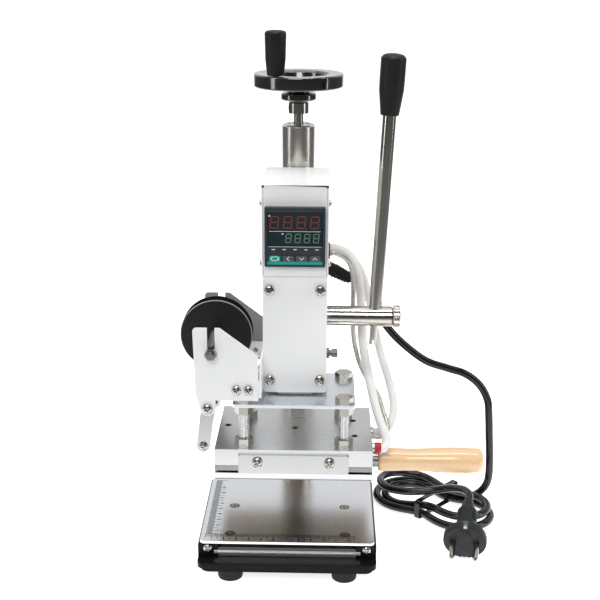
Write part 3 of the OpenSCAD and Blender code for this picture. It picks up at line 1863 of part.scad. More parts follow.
pin_d = 4.8;
pin_l = 19;
pin_pitch = 19;
pin_root = 8;

module plug_place() {
  translate(plug_at)
    rotate([90 + plug_tilt, 0, -plug_yaw])
      children();
}

module plug_pin_places() {
  for (x = [-1, 1])
    plug_place()
      translate([x * pin_pitch / 2, 0, -pin_root])
        children();
}

// Round plug with a stepped shoulder, a grip and a tapered tail
module mains_plug() {
  rim_r = 18;
  color("#1b1c1d")
    difference() {
      plug_place()
        rotate_extrude()
          polygon([
            [0, 0], [rim_r - 1, 0], [rim_r, -1], [rim_r, -7], [rim_r - 1, -8], [rim_r - 4, -9],
            [10, -16], [8, -19], [8, -33], [8.6, -34], [8.6, -36], [6.5, -38],
            [cord_d / 2 + 0.8, -plug_l], [0, -plug_l]
          ]);
      plug_pin_places()
        translate([0, 0, -seat_gap])
          hole(pin_d, pin_root + 1);
    }
}

module plug_pins() {
  tip = 1.5;
  color("#c9c7c1")
    plug_pin_places()
      rotate_extrude()
        polygon([
          [0, 0], [pin_d / 2, 0], [pin_d / 2, pin_root + pin_l - tip],
          [pin_d / 2 - tip, pin_root + pin_l], [0, pin_root + pin_l]
        ]);
}

base_plate();
rubber_feet();
base_fasteners();
table_rails();
column();
column_flange();
column_nut();
mains_cord();
mains_cord_hank();
cord_tie();
mains_plug();
plug_pins();
table_carriage();
table_spacer();
work_plate();
work_plate_screws();
head_body();
front_cover();
head_screws();
hood_shell();
hood_panel();
controller_case();
pinion_bushes();
lift_carrier();
return_spring();
cord_gland();
lead_grommet();
gib_screw();
foil_mount();
foil_brackets();
heater_leads();
thermocouple_lead();
key_mode();
key_shift();
key_down();
key_up();
pinion_shaft();
pinion();
lever_rod();
lever_grip();
thumb_screw();
ram();
upper_plate();
press_fasteners();
heat_block();
slideway_plate();
cartridge_heaters();
guide_plates();
die_plate();
handle_ferrule();
wood_handle();
reel_shaft();
reel_spring();
reel_flanges();
guide_arms();
guide_rod();
handwheel();
lead_screw();
crank_axle();
crank_grip();
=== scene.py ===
# %% [markdown]
# # A bench hot foil stamping machine
# This lesson dresses a finished solid model of a small lever press: a white head on a nickel column, a
# heated block over a sliding steel table, a foil reel at the left and a long lever at the right.
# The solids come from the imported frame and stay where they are. The scene is in metres, in the frame's own
# axes: X to the right, Y to the back, Z up. Small sizes are written in millimetres and multiplied by MM.

# %% Load the solid model
import json
import math
import bpy
from mathutils import Matrix, Vector

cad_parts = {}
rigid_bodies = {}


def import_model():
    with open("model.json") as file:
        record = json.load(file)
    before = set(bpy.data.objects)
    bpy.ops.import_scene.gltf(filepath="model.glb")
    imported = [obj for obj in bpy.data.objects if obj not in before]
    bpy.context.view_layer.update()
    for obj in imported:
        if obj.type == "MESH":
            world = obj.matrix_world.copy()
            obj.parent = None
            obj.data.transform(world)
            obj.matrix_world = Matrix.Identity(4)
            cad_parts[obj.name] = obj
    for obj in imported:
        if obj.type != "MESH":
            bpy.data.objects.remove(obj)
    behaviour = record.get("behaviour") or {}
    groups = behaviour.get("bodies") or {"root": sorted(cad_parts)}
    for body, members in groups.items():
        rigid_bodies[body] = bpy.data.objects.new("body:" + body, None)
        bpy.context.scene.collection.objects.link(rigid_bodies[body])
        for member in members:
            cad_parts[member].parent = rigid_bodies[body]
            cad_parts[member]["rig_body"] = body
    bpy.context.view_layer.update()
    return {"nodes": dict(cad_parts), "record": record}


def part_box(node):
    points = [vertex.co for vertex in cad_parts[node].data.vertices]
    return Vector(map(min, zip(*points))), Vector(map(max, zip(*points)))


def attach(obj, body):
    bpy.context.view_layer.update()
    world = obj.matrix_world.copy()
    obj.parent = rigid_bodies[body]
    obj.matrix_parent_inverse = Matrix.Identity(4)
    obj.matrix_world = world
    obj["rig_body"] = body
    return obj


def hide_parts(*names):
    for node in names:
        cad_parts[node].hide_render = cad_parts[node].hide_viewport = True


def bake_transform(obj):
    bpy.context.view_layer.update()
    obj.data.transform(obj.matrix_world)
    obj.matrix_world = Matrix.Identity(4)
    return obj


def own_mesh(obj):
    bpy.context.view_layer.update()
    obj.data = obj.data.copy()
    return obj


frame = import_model()
nodes = frame["nodes"]
MM = 0.001

# %% [markdown]
# ## Camera
# A product camera stands almost straight in front of the machine and looks down on it by about 17 degrees.
# A camera can be aimed with a Track To constraint, but a fitted view is easier to keep as three turns: a
# yaw, a pitch and a very small roll. The lens follows from the focal length in pixels on a 600 pixel frame.

# %% Camera
YAW, PITCH, ROLL = -0.0238, 0.2910, 0.0045
CAMERA_AT = (0.03023, -0.9594, 0.4965)
SENSOR_MM, FOCAL_PIXELS, FRAME_PIXELS = 36.0, 1208.85, 600.0
ahead = Vector((math.sin(YAW) * math.cos(PITCH), math.cos(YAW) * math.cos(PITCH), -math.sin(PITCH)))
level = Vector((math.cos(YAW), -math.sin(YAW), 0.0))
upright = level.cross(ahead)
right = math.cos(ROLL) * level + math.sin(ROLL) * upright
top = -math.sin(ROLL) * level + math.cos(ROLL) * upright
bpy.ops.object.camera_add()
camera = bpy.context.object
camera.name = "product_camera"
camera.matrix_world = Matrix.Translation(CAMERA_AT) @ Matrix((right, top, -ahead)).transposed().to_4x4()
camera.data.sensor_width = SENSOR_MM
camera.data.lens = SENSOR_MM * FOCAL_PIXELS / FRAME_PIXELS
camera.data.clip_start = 0.01
camera.data.clip_end = 100.0
bpy.context.scene.camera = camera
print("camera: lens %.2f mm" % camera.data.lens)

# %% [markdown]
# ## Cords
# Four cords leave the head: the black mains cord, two white sleeved heater leads and the thin thermocouple
# lead in its steel braid. A curve object with a bevel would do, but a swept mesh carries a UV map, so that
# a braid can follow the cord. The routes repeat the solid model's points.

# %% Curves and tubes
def smooth_route(points, steps=6):
    """A Catmull-Rom curve through points in millimetres, with that many steps to a stretch."""
    p = [Vector(q) * MM for q in points]
    last = len(p) - 1
    out = []
    for i in range(last):
        a, b, c, d = p[max(i - 1, 0)], p[i], p[i + 1], p[min(i + 2, last)]
        for k in range(steps):
            f = k / steps
            out.append(0.5 * (2 * b + (c - a) * f + (2 * a - 5 * b + 4 * c - d) * f * f
                              + (3 * b - a - 3 * c + d) * f ** 3))
    return out + [p[last]]


def tube(name, path, radius, sides=16, start_side=Vector((0, 0, 1))):
    """A closed tube round the path, with a UV map: U runs round it and V along it, in diameters."""
    points, uvs, faces = [], [], []
    side, along = start_side, 0.0
    for i, centre in enumerate(path):
        tangent = (path[min(i + 1, len(path) - 1)] - path[max(i - 1, 0)]).normalized()
        side = (side - tangent * side.dot(tangent)).normalized()
        other = tangent.cross(side)
        along += (centre - path[i - 1]).length if i else 0.0
        for k in range(sides):
            turn = 2 * math.pi * k / sides
            points.append(centre + radius * (math.cos(turn) * side + math.sin(turn) * other))
            uvs.append(along / (2 * radius))
    for i in range(len(path) - 1):
        for k in range(sides):
            j = (k + 1) % sides
            faces.append((i * sides + k, i * sides + j, (i + 1) * sides + j, (i + 1) * sides + k))
    faces.append(tuple(range(sides - 1, -1, -1)))
    faces.append(tuple((len(path) - 1) * sides + k for k in range(sides)))
    mesh = bpy.data.meshes.new(name)
    mesh.from_pydata(points, [], faces)
    layer = mesh.uv_layers.new(name="along")
    for face in mesh.polygons[:-2]:
        face.use_smooth = True
        k = face.index % sides
        for corner, lift in zip(face.loop_indices, (0, 1, 1, 0)):
            layer.data[corner].uv = ((k + lift) / sides, uvs[mesh.loops[corner].vertex_index])
    piece = bpy.data.objects.new(name, mesh)
    bpy.context.scene.collection.objects.link(piece)
    return piece


def length_of(path):
    return sum((b - a).length for a, b in zip(path, path[1:]))


print("tube helper ready")

# %% [markdown]
# The mains cord comes out of a tapered strain relief, falls to the table at the right, and is folded into a
# short hank with its plug beside it. The hank is a loop with two folds and two runs. It winds inwards on
# the table and outwards again one layer higher, so the same small formula gives every turn.

# %% The hank of the mains cord
HANK_AT, HANK_TURN = (129.5, 42.0), math.radians(-40)
HANK_RUN, HANK_FOLD, HANK_WAIST = 28.0, 21.0, 15.0
HANK_STEP, HANK_LAYER, HANK_FLOOR = 8.0, 7.6, 5.0
HANK_MIDDLE, HANK_LAST = 1.5, 57 / 24
CLIMB_TURNS, LIFT_TURNS = 0.24, 0.3


def ease(f):
    """A smooth step from 0 to 1."""
    q = min(max(f, 0.0), 1.0)
    return q * q * (3 - 2 * q)


def loop_at(u):
    """Place on the hank's loop, and its outward side, u turns after the waist of the rear run."""
    run, fold = 2 * HANK_RUN, math.pi * HANK_FOLD
    d = (u * 2 * (run + fold) + HANK_RUN) % (2 * (run + fold))
    rear_painted_shade = d < run + fold
    if d < run or run + fold <= d < 2 * run + fold:
        s = HANK_RUN - d if d < run else d - run - fold - HANK_RUN
        sign = 1 if d < run else -1
        bulge = (HANK_FOLD - HANK_WAIST) / 2
        y = HANK_WAIST + bulge * (1 - math.cos(math.pi * s / HANK_RUN))
        slope = bulge * math.pi / HANK_RUN * math.sin(math.pi * s / HANK_RUN)
        return Vector((s, sign * y)), Vector((-slope, sign)).normalized()
    turn = math.pi / 2 + (d - run) / HANK_FOLD if rear_painted_shade else -math.pi / 2 + (d - 2 * run - fold) / HANK_FOLD
    outward = Vector((math.cos(turn), math.sin(turn)))
    return Vector((-HANK_RUN if rear_painted_shade else HANK_RUN, 0)) + HANK_FOLD * outward, outward


def hank_point(t):
    """Place on the cord's middle line, t turns after the hank's start."""
    place, outward = loop_at(t)
    q = place + HANK_STEP * abs(t - HANK_MIDDLE) * outward
    climb = ease((t - HANK_MIDDLE) / CLIMB_TURNS + 0.5)
    lift = ease((t - HANK_LAST + LIFT_TURNS) / LIFT_TURNS)
    c, s = math.cos(HANK_TURN), math.sin(HANK_TURN)
    return Vector((HANK_AT[0] + q.x * c - q.y * s, HANK_AT[1] + q.x * s + q.y * c,
                   HANK_FLOOR + HANK_LAYER * (climb + lift)))


hank_turns = [hank_point(i / 96) * MM for i in range(1, round(HANK_LAST * 96) + 1)]
print("hank: %.3f m" % length_of(hank_turns))

# %% Route of the mains cord
MAINS_R = 3.5
GLAND_AT = Vector((30.0, 40.0, 226.8))
PLUG_AT, PLUG_LENGTH = Vector((146.0, -55.5, 17.4)), 50.1
gland_yaw, gland_drop = math.radians(22), math.radians(30)
gland_axis = Vector((math.cos(gland_yaw) * math.cos(gland_drop),
                     math.sin(gland_yaw) * math.cos(gland_drop), -math.sin(gland_drop)))
plug_yaw, plug_tilt = math.radians(9), math.radians(17.5)
plug_axis = Vector((-math.sin(plug_yaw) * math.cos(plug_tilt), -math.cos(plug_yaw) * math.cos(plug_tilt),
                    -math.sin(plug_tilt)))
plug_end = PLUG_AT - PLUG_LENGTH * plug_axis
hank_way = (hank_point(0) - hank_point(1 / 192)).normalized()
mains_route = [GLAND_AT + d * gland_axis for d in (9, 17, 24, 32)] + [
    (69, 55, 190), (81, 57, 171), (95, 57, 155), (117, 56, 138), (137, 55.5, 131), (153, 55, 126),
    (166, 55, 116), (174, 54, 102), (176, 53, 86), (177, 51.5, 68), (178, 49.5, 48), (178, 48.5, 31),
    (176, 49.5, 21), (170.5, 51.5, 12.5), (163, 54.5, 7), hank_point(0) + 8 * hank_way, hank_point(0)]
tail_route = [hank_point(56 / 24), hank_point(HANK_LAST), (101, 33, 21.2), (115, 30.5, 22.6),
              (129, 29.5, 24.6), (142, 23, 29.5), (151, 10, 34.5), plug_end - 8 * plug_axis, plug_end]
mains_path = smooth_route(mains_route) + hank_turns + smooth_route(tail_route)[7:]
print("mains cord: %.3f m" % length_of(mains_path))

# %% The mains cord
mains_cord = tube("mains_cord_free", mains_path, MAINS_R * MM)
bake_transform(mains_cord)
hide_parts("mains_cord", "mains_cord_hank")
print("mains cord:", len(mains_cord.data.polygons), "faces")

# %% [markdown]
# The leads hang from grommets in the hood's right side, pass behind the lever shaft and end at the heated
# block, which moves with the ram.

# %% Routes of the leads
SHAFT_AT = Vector((30.0, 12.5, 192.0))
GROMMET_AT, GROMMET_STEP = Vector((30.6, 14.0, 245.5)), 9.5


def lead_route(number, between, end):
    """From a grommet, counted from the front, by places beside the lever shaft to the block."""
    start = GROMMET_AT + Vector((0, number * GROMMET_STEP, 0))
    return ([start + Vector((x, 0, 0)) for x in (-2, 2, 6)] + [SHAFT_AT + Vector(p) for p in between]
            + [Vector(end) + Vector((x, 0, 0)) for x in (8, 3, 0)])


LEADS = {
    "thermocouple": (2.0, 0, [
        (16, 6.5, 47), (21, 12.5, 34), (22, 15.5, 17), (22, 15.5, -4), (23, 15.5, -24), (26, 17.5, -40),
        (30, 17.5, -52), (37, 13.5, -64), (45, 5.5, -74), (49, -4.5, -84), (52, -12.5, -91),
        (52, -19.5, -96)], (68.55, -9.5, 92)),
    "front_heater_lead": (3.75, 1, [
        (15, 14.5, 49), (24, 18.5, 36), (28, 22.5, 16), (29.5, 24.5, -6), (31, 21.5, -30), (36, 3.5, -54),
        (43, -20.5, -78), (50, -37.5, -94)], (70.55, -32.965, 92)),
    "rear_heater_lead": (3.3, 2, [
        (17, 24.5, 48), (29, 29.5, 30), (36, 32.5, 6), (41, 31.5, -18), (47, 23.5, -42), (54, 9.5, -62),
        (58, -0.5, -80), (55, -8.5, -94)], (70.55, 0.965, 92)),
}
leads = {}
for name, (radius, number, between, end) in LEADS.items():
    path = smooth_route(lead_route(number, between, end))
    leads[name] = tube(name, path, radius * MM, start_side=Vector((0, 1, 0)))
    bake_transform(leads[name])
    length_of(path)
    print("%s: %.3f m" % (name, length_of(path)))
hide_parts("thermocouple_lead")
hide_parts("heater_leads")
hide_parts("heater_leads")

# %% [markdown]
# ## Shader maths in plain Python
# A finish is a small network of nodes. Written out link by link it is hard to read, so a Wire wraps one
# socket and its operators add the Math nodes: `0.3 + 0.1 * grain` is then a network of two nodes. Every
# other node comes from `Finish.node`. Patterns read Object coordinates, which are metres on this machine.

# %% Wires
class Wire:
    """One output socket of a finish. Arithmetic on it adds Math nodes."""

    def __init__(self, tree, socket):
        self.tree, self.socket = tree, socket

    def maths(self, operation, first, second=None):
        node = self.tree.nodes.new("ShaderNodeMath")
        node.operation = operation
        for slot, value in zip(node.inputs, (first, second)):
            connect(self.tree, slot, value)
        return Wire(self.tree, node.outputs[0])

    def __add__(self, other):
        return self.maths("ADD", self, other)

    def __radd__(self, other):
        return self.maths("ADD", other, self)

    def __sub__(self, other):
        return self.maths("SUBTRACT", self, other)

    def __rsub__(self, other):
        return self.maths("SUBTRACT", other, self)

    def __mul__(self, other):
        return self.maths("MULTIPLY", self, other)

    def __rmul__(self, other):
        return self.maths("MULTIPLY", other, self)

    def __lt__(self, other):
        return self.maths("LESS_THAN", self, other)

    def sine(self):
        return self.maths("SINE", self)

    def absolute(self):
        return self.maths("ABSOLUTE", self)


def connect(tree, slot, value):
    """Links a Wire to a socket, or sets the socket to a number, a vector or a colour."""
    if isinstance(value, Wire):
        tree.links.new(value.socket, slot)
    elif value is not None:
        slot.default_value = (*value, 1.0) if slot.type == "RGBA" and len(value) == 3 else value


print("wires ready")


# %% Finishes
class Finish:
    """A material on one Principled shader. Values that stay the same are set on its sockets."""

    def __init__(self, name, **sockets):
        self.material = bpy.data.materials.new(name)
        self.material.use_nodes = True
        self.tree = self.material.node_tree
        self.shader = self.tree.nodes["Principled BSDF"]
        self.give(**sockets)

    def give(self, **sockets):
        for name, value in sockets.items():
            connect(self.tree, self.shader.inputs[name.replace("_", " ")], value)
        return self

    def node(self, kind, settings=(), out=0, numbered=(), **sockets):
        """Any node: its settings, then its sockets by name or, where names repeat, by number."""
        node = self.tree.nodes.new("ShaderNode" + kind)
        for name, value in dict(settings).items():
            setattr(node, name, value)
        named = {name.replace("_", " "): value for name, value in sockets.items()}
        for slot, value in (*named.items(), *dict(numbered).items()):
            connect(self.tree, node.inputs[slot], value)
        return Wire(self.tree, node.outputs[out])

    def place(self, scale=(1, 1, 1), source="Object"):
        return self.node("Mapping", Vector=self.node("TexCoord", out=source), Scale=scale)

    def axis(self, where, letter):
        return self.node("SeparateXYZ", out="XYZ".index(letter), Vector=where)

    def noise(self, scale, where=None, detail=2.0, distort=0.0):
        return self.node("TexNoise", Vector=where or self.place(), Scale=scale, Detail=detail,
                         Distortion=distort)

    def range(self, value, low, high):
        """0 at `low` and 1 at `high`, which may be the smaller of the two."""
        return self.node("MapRange", Value=value, From_Min=low, From_Max=high, To_Min=0.0, To_Max=1.0)

    def blend(self, factor, first, second):
        """One colour into another. On a Mix node, sockets 6 and 7 and output 2 are the colours."""
        return self.node("Mix", {"data_type": "RGBA"}, out=2, numbered={6: first, 7: second}, Factor=factor)

    def relief(self, height, depth):
        """A bump of that depth in metres on the whole surface."""
        return self.give(Normal=self.node("Bump", Height=height, Distance=depth, Strength=1.0))


FINISHES = {}


def keep(name, finish):
    FINISHES[name] = finish.material
    print("finish:", name, len(finish.tree.nodes), "nodes")


print("finish helpers ready")

# %% [markdown]
# ## Paint
# The head, hood and brackets are powder coated: a white skin with a faint orange peel, a little less glossy
# in some places. The base, rails and flange have a thinner black enamel with more gloss.

# %% White and black paint
def powder_coat(name):
    """The skin of a powder coat, and the slow clouds in it, which its colour follows too."""
    skin = Finish(name, Metallic=0.0, IOR=1.5)
    clouds = skin.noise(28.0, detail=3.0)
    skin.give(Roughness=0.30 + 0.14 * clouds)
    return skin.relief(skin.noise(1300.0), 0.00004), clouds


coat, clouds = powder_coat("white_powder_coat")
coat.give(Base_Color=coat.blend(clouds, (0.80, 0.81, 0.82), (0.86, 0.865, 0.87)))
keep("white_paint", coat)

enamel = Finish("black_enamel", Metallic=0.0, Coat_Roughness=0.08, Specular_IOR_Level=0.05)
clouds = enamel.noise(40.0, detail=3.0)
dust = enamel.noise(700.0, detail=4.0)
enamel.give(Base_Color=enamel.blend(dust, (0.003, 0.003, 0.0035), (0.010, 0.010, 0.011)),
            Roughness=0.22 + 0.18 * clouds, Coat_Weight=0.04 + 0.05 * clouds)
enamel.relief(enamel.noise(900.0), 0.00003)
keep("black_paint", enamel)

# %% [markdown]
# ## Plated and machined metal
# Polished nickel is nearly a mirror, but its plate has tiny pits and a slow waviness. The column's nickel is
# a paler satin. Zinc plate is bluer and cloudier. A milled or brushed face scatters light along its
# scratches, so the noise for it is stretched: short across the scratches and long along them.

# %% Nickel, screws, zinc and bronze
def plated(name, dark, bright, smooth, dull, pits):
    """A plated or finely machined face: two tints, the least and most roughness, and the pits' depth."""
    plate = Finish(name, Metallic=1.0)
    waves = plate.noise(18.0)
    specks = plate.noise(1100.0, detail=3.0)
    plate.give(Base_Color=plate.blend(waves, dark, bright), Roughness=smooth + (dull - smooth) * specks)
    return plate.relief(specks + 1.5 * waves, pits)


PLATED = {
    "nickel": ("polished_nickel", (0.41, 0.39, 0.355), (0.53, 0.51, 0.47), 0.07, 0.22, 0.000012),
    "column": ("satin_nickel", (0.56, 0.535, 0.49), (0.70, 0.675, 0.63), 0.17, 0.31, 0.000012),
    "screws": ("nickel_screws", (0.33, 0.315, 0.285), (0.50, 0.485, 0.45), 0.10, 0.26, 0.000008),
    "zinc": ("bright_zinc", (0.62, 0.66, 0.70), (0.80, 0.83, 0.86), 0.18, 0.38, 0.000010),
    "dark_steel": ("dark_steel", (0.10, 0.105, 0.115), (0.20, 0.205, 0.215), 0.28, 0.50, 0.000012),
    "machined_steel": ("machined_steel", (0.22, 0.22, 0.22), (0.32, 0.32, 0.32), 0.20, 0.40, 0.000010),
    "bronze": ("bearing_bronze", (0.45, 0.28, 0.12), (0.62, 0.42, 0.20), 0.22, 0.42, 0.000010),
}
for name, look in PLATED.items():
    keep(name, plated(*look))

# %% Brushed aluminium and steel
MILLED = (0.20, 0.42, (25, 1500, 1500), 0.000012)


def brushed(name, smooth, dull, along, depth, tints=None):
    """A face with long scratches: `along` gives the pattern's scale on X, Y and Z."""
    plate = Finish(name, Metallic=1.0)
    scratches = plate.noise(1.0, where=plate.place(scale=along), detail=4.0)
    if tints:
        plate.give(Base_Color=plate.blend(0.7 * scratches + 0.3 * plate.noise(22.0), *tints))
    plate.give(Roughness=smooth + (dull - smooth) * scratches)
    return plate.relief(scratches, depth)


keep("aluminium", brushed("milled_aluminium", *MILLED, ((0.47, 0.48, 0.485), (0.69, 0.695, 0.70))))
keep("stainless", brushed("brushed_stainless", 0.17, 0.30, (1300, 22, 1300), 0.000004,
                          ((0.70, 0.72, 0.75), (0.84, 0.86, 0.89))))
keep("sheet_steel", brushed("bright_sheet_steel", 0.14, 0.30, (1300, 1300, 30), 0.000006,
                            ((0.40, 0.405, 0.41), (0.50, 0.505, 0.51))))

# %% [markdown]
# Three parts don't look the same all over. The die plate's underside sits over the hot work and has gone
# brown. The carriage of the table has a painted highlight along its edge and painted shadow above it, under
# the plate. The rear bracket of the foil unit is painted grey for the shade it stands in. These finishes read
# the place on the machine and change there.

# %% Finishes that change with place
die = brushed("die_aluminium", *MILLED)
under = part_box("die_plate")[0].z
unburnt = die.range(die.axis(die.place(), "Z"), under + 0.3 * MM, under + 1.2 * MM)
clean = die.blend(die.noise(22.0), (0.56, 0.57, 0.575), (0.70, 0.705, 0.71))
die.give(Base_Color=die.blend(unburnt + 0.12 * die.noise(35.0, detail=4.0), (0.12, 0.070, 0.022), clean))
keep("die", die)

carriage = brushed("carriage_aluminium", *MILLED)
low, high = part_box("table_carriage")
rise = carriage.range(carriage.axis(carriage.place(), "Z"), low.z, high.z)
# Painted highlight: a bright band at mid-height of the carriage's front; painted shadow: dark above it, under
# the plate.
painted_highlight_ridge = carriage.range((rise - 0.52).absolute(), 0.20, 0.12)
with_painted_shadow = carriage.blend(carriage.range(rise, 0.62, 0.72), (0.62, 0.63, 0.64), (0.10, 0.105, 0.105))
carriage.give(Base_Color=carriage.blend(painted_highlight_ridge, with_painted_shadow, (0.96, 0.96, 0.96)))
keep("carriage", carriage)

bracket, clouds = powder_coat("bracket_paint")
front_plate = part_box("foil_brackets")[0].y
# Painted shade: the rear bracket, in shade behind the reel, is painted grey instead of white.
rear_painted_shade = bracket.range(bracket.axis(bracket.place(), "Y"), front_plate + 8 * MM, front_plate + 16 * MM)
pale = bracket.blend(clouds, (0.76, 0.77, 0.78), (0.82, 0.825, 0.83))
painted_shade_grey = bracket.blend(clouds, (0.19, 0.195, 0.20), (0.25, 0.255, 0.26))
bracket.give(Base_Color=bracket.blend(rear_painted_shade, pale, painted_shade_grey))
keep("bracket", bracket)

# %% [markdown]
# ## Plastic, rubber and wood
# The handwheel is glossy bakelite, the grips are matte with a fine leather grain, and the feet are rubber.
# The foil reel is moulded from the grips' plastic, and the front edge of its rim carries a painted highlight,
# a light grey line. The handle is a turned piece of beech under clear varnish: the grain runs along X, with
# short dark flecks.

# %% Plastic and rubber
bakelite = Finish("black_bakelite", Metallic=0.0, Coat_Roughness=0.06, Coat_IOR=1.85)
swirl = bakelite.noise(60.0, detail=3.0, distort=0.6)
bakelite.give(Base_Color=bakelite.blend(swirl, (0.004, 0.004, 0.005), (0.012, 0.012, 0.013)),
              Roughness=0.16 + 0.12 * swirl, Coat_Weight=0.75 + 0.2 * swirl)
bakelite.relief(bakelite.noise(90.0), 0.00004)
keep("bakelite", bakelite)
GRIP = (0.36, 0.54, 1600.0, 0.00005)


def moulded(name, smooth, dull, grain, depth, tints=None):
    """A moulded skin: the least and most roughness, the grain's scale and depth, and two tints."""
    plastic = Finish(name, Metallic=0.0, Specular_IOR_Level=0.28)
    skin = plastic.noise(grain)
    clouds = plastic.noise(45.0)
    if tints:
        plastic.give(Base_Color=plastic.blend(0.6 * skin + 0.4 * clouds, *tints))
    plastic.give(Roughness=smooth + (dull - smooth) * clouds)
    return plastic.relief(skin, depth)


MOULDED = {
    "black_plastic": ("grip_plastic", *GRIP, ((0.004, 0.0045, 0.005), (0.013, 0.014, 0.016))),
    "rubber": ("foot_rubber", 0.62, 0.80, 900.0, 0.00006, ((0.009, 0.009, 0.009), (0.022, 0.022, 0.022))),
    "controller": ("controller_case", 0.30, 0.44, 2200.0, 0.00002,
                   ((0.022, 0.027, 0.032), (0.038, 0.044, 0.050))),
    "key_green": ("teal_key", 0.40, 0.55, 2000.0, 0.00002, ((0.010, 0.24, 0.20), (0.016, 0.32, 0.27))),
    "key_grey": ("grey_key", 0.40, 0.55, 2000.0, 0.00002, ((0.060, 0.066, 0.074), (0.090, 0.097, 0.106))),
    "plug_plastic": ("plug_plastic", 0.40, 0.58, 1200.0, 0.00006,
                     ((0.007, 0.008, 0.009), (0.020, 0.022, 0.024))),
    "insert": ("plug_insert", 0.45, 0.60, 1500.0, 0.00003, ((0.036, 0.100, 0.076), (0.062, 0.150, 0.118))),
    "red_shrink": ("red_shrink", 0.30, 0.48, 1400.0, 0.00005, ((0.33, 0.012, 0.016), (0.50, 0.026, 0.030))),
}
for name, look in MOULDED.items():
    keep(name, moulded(*look))

# %% The reel's plastic
reel = moulded("reel_plastic", *GRIP)
low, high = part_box("reel_flanges")
axle, reel_r = (low + high) / 2, (high.z - low.z) / 2
where = reel.place()
aside, above = reel.axis(where, "X") - axle.x, reel.axis(where, "Z") - axle.z
# Painted highlight: a light grey line on the front edge of the front flange's rim.
rim_painted_highlight = reel.range(aside * aside + above * above, (reel_r - 0.9 * MM) ** 2, (reel_r - 0.4 * MM) ** 2)
front = reel.axis(where, "Y") < low.y + 0.8 * MM
reel.give(Base_Color=reel.blend(rim_painted_highlight * front, (0.007, 0.0075, 0.0085), (0.30, 0.31, 0.32)))
keep("reel", reel)

# %% Varnished beech
beech = Finish("varnished_beech", Metallic=0.0, Coat_Weight=0.8, Coat_Roughness=0.10)
rings = beech.noise(1.0, where=beech.place(scale=(9, 150, 230)), detail=3.0, distort=0.8)
flecks = beech.noise(1.0, where=beech.place(scale=(130, 2300, 1700)))
pores = beech.range(flecks, 0.60, 0.74)
wood = beech.blend(rings, (0.66, 0.415, 0.205), (0.85, 0.605, 0.355))
beech.give(Base_Color=beech.blend(0.45 * pores, wood, (0.45, 0.235, 0.10)), Roughness=0.30 + 0.2 * rings)
beech.relief(pores, 0.00002)
keep("wood", beech)

# %% [markdown]
# ## Cord finishes
# These follow the cord, so the woven ones read the tube's own UV map. The mains cord is smooth glossy vinyl.
# The sleeves are woven glass yarn under silicone, and the thermocouple has a steel braid: two sets of strands
# that cross.

# %% Vinyl, sleeve and braid
vinyl = Finish("black_vinyl", Metallic=0.0)
skin = vinyl.noise(30.0)
vinyl.give(Base_Color=vinyl.blend(skin, (0.003, 0.003, 0.003), (0.009, 0.009, 0.010)),
           Roughness=0.12 + 0.12 * skin)
vinyl.relief(vinyl.noise(500.0), 0.00003)
keep("cord", vinyl)


def woven(name, strands, slope, gap, yarn, smooth, dull, depth, metallic=0.0):
    """Strands that cross on a tube. U runs round the tube and V along it."""
    weave = Finish(name, Metallic=metallic)
    where = weave.place(source="UV")
    around = weave.axis(where, "X") * (2 * math.pi * strands)
    along = weave.axis(where, "Y") * slope
    over = (around + along).sine()
    under = (around - along).sine()
    height = over.absolute() * 0.5 + under.absolute() * 0.5
    weave.give(Base_Color=weave.blend(height, gap, yarn), Roughness=dull - (dull - smooth) * height)
    return weave.relief(height, depth)


keep("sleeve", woven("glass_sleeve", 7, 16.0, (0.66, 0.65, 0.62), (0.88, 0.875, 0.86), 0.42, 0.60, 0.00010))
keep("braid", woven("steel_braid", 4, 14.0, (0.16, 0.15, 0.13), (0.72, 0.70, 0.65), 0.22, 0.45, 0.00014,
                    metallic=1.0))

# %% [markdown]
# ## Studio
# The machine stands on a white sweep that fills the picture. Polished metal shows its surroundings, so what
# lies outside the picture matters too: behind the machine the room is white, which makes the table and the
# block's top bright. In front and at the sides it is dark, which draws the dark bands on the column and the
# lever. The floor therefore fades to grey outside the sweep. None of this is part of the machine.

# %% Floor and room
def primitive(operator, name, **settings):
    """Adds a primitive with nothing else selected, and names it."""
    bpy.ops.object.select_all(action="DESELECT")
    operator(**settings)
    piece = bpy.context.object
    piece.name = piece.data.name = name
    return piece


floor = primitive(bpy.ops.mesh.primitive_plane_add, "floor", size=60.0)
sweep = Finish("white_sweep", Roughness=0.9, Specular_IOR_Level=0.1, Emission_Strength=0.80)
where = sweep.place()
lateral = sweep.axis(where, "X").absolute() - 0.32 * sweep.axis(where, "Y")
white = sweep.range(lateral, 0.80, 0.48) * sweep.range(sweep.axis(where, "Y"), -0.62, -0.17)
sweep.give(Base_Color=sweep.blend(white, (0.16, 0.16, 0.16), (0.94, 0.94, 0.94)),
           Emission_Color=sweep.blend(white, (0.02, 0.02, 0.02), (1, 1, 1)))
floor.data.materials.append(sweep.material)


class Room(Finish):
    """The world's background, with the same helpers as a finish."""

    def __init__(self, name):
        world = bpy.data.worlds.new(name)
        bpy.context.scene.world = world
        world.use_nodes = True
        self.tree = world.node_tree
        self.shader = self.tree.nodes["Background"]


room = Room("studio")
way = room.node("TexCoord", out="Generated")
behind = room.range(room.axis(way, "Y"), -0.15, 0.55)
room.give(Color=room.blend(behind, (0.10, 0.098, 0.095), (1.0, 1.0, 1.0)), Strength=0.85)
print("room: floor and background")

# %% [markdown]
# Five area lights stand for soft boxes: a wide one overhead, a narrow one over the front, a strip at each
# side and a fill from the front. A sun lamp would be less work, but its hard shadows and small highlights
# don't suit polished metal.

# %% Lights
def soft_box(name, place, aim, width, height, watts):
    bpy.ops.object.light_add(type="AREA", location=place)
    lamp = bpy.context.object
    lamp.name = name
    lamp.data.shape = "RECTANGLE"
    lamp.data.size, lamp.data.size_y = width, height
    lamp.data.energy = watts
    lamp.rotation_euler = (Vector(aim) - Vector(place)).to_track_quat("-Z", "Y").to_euler()


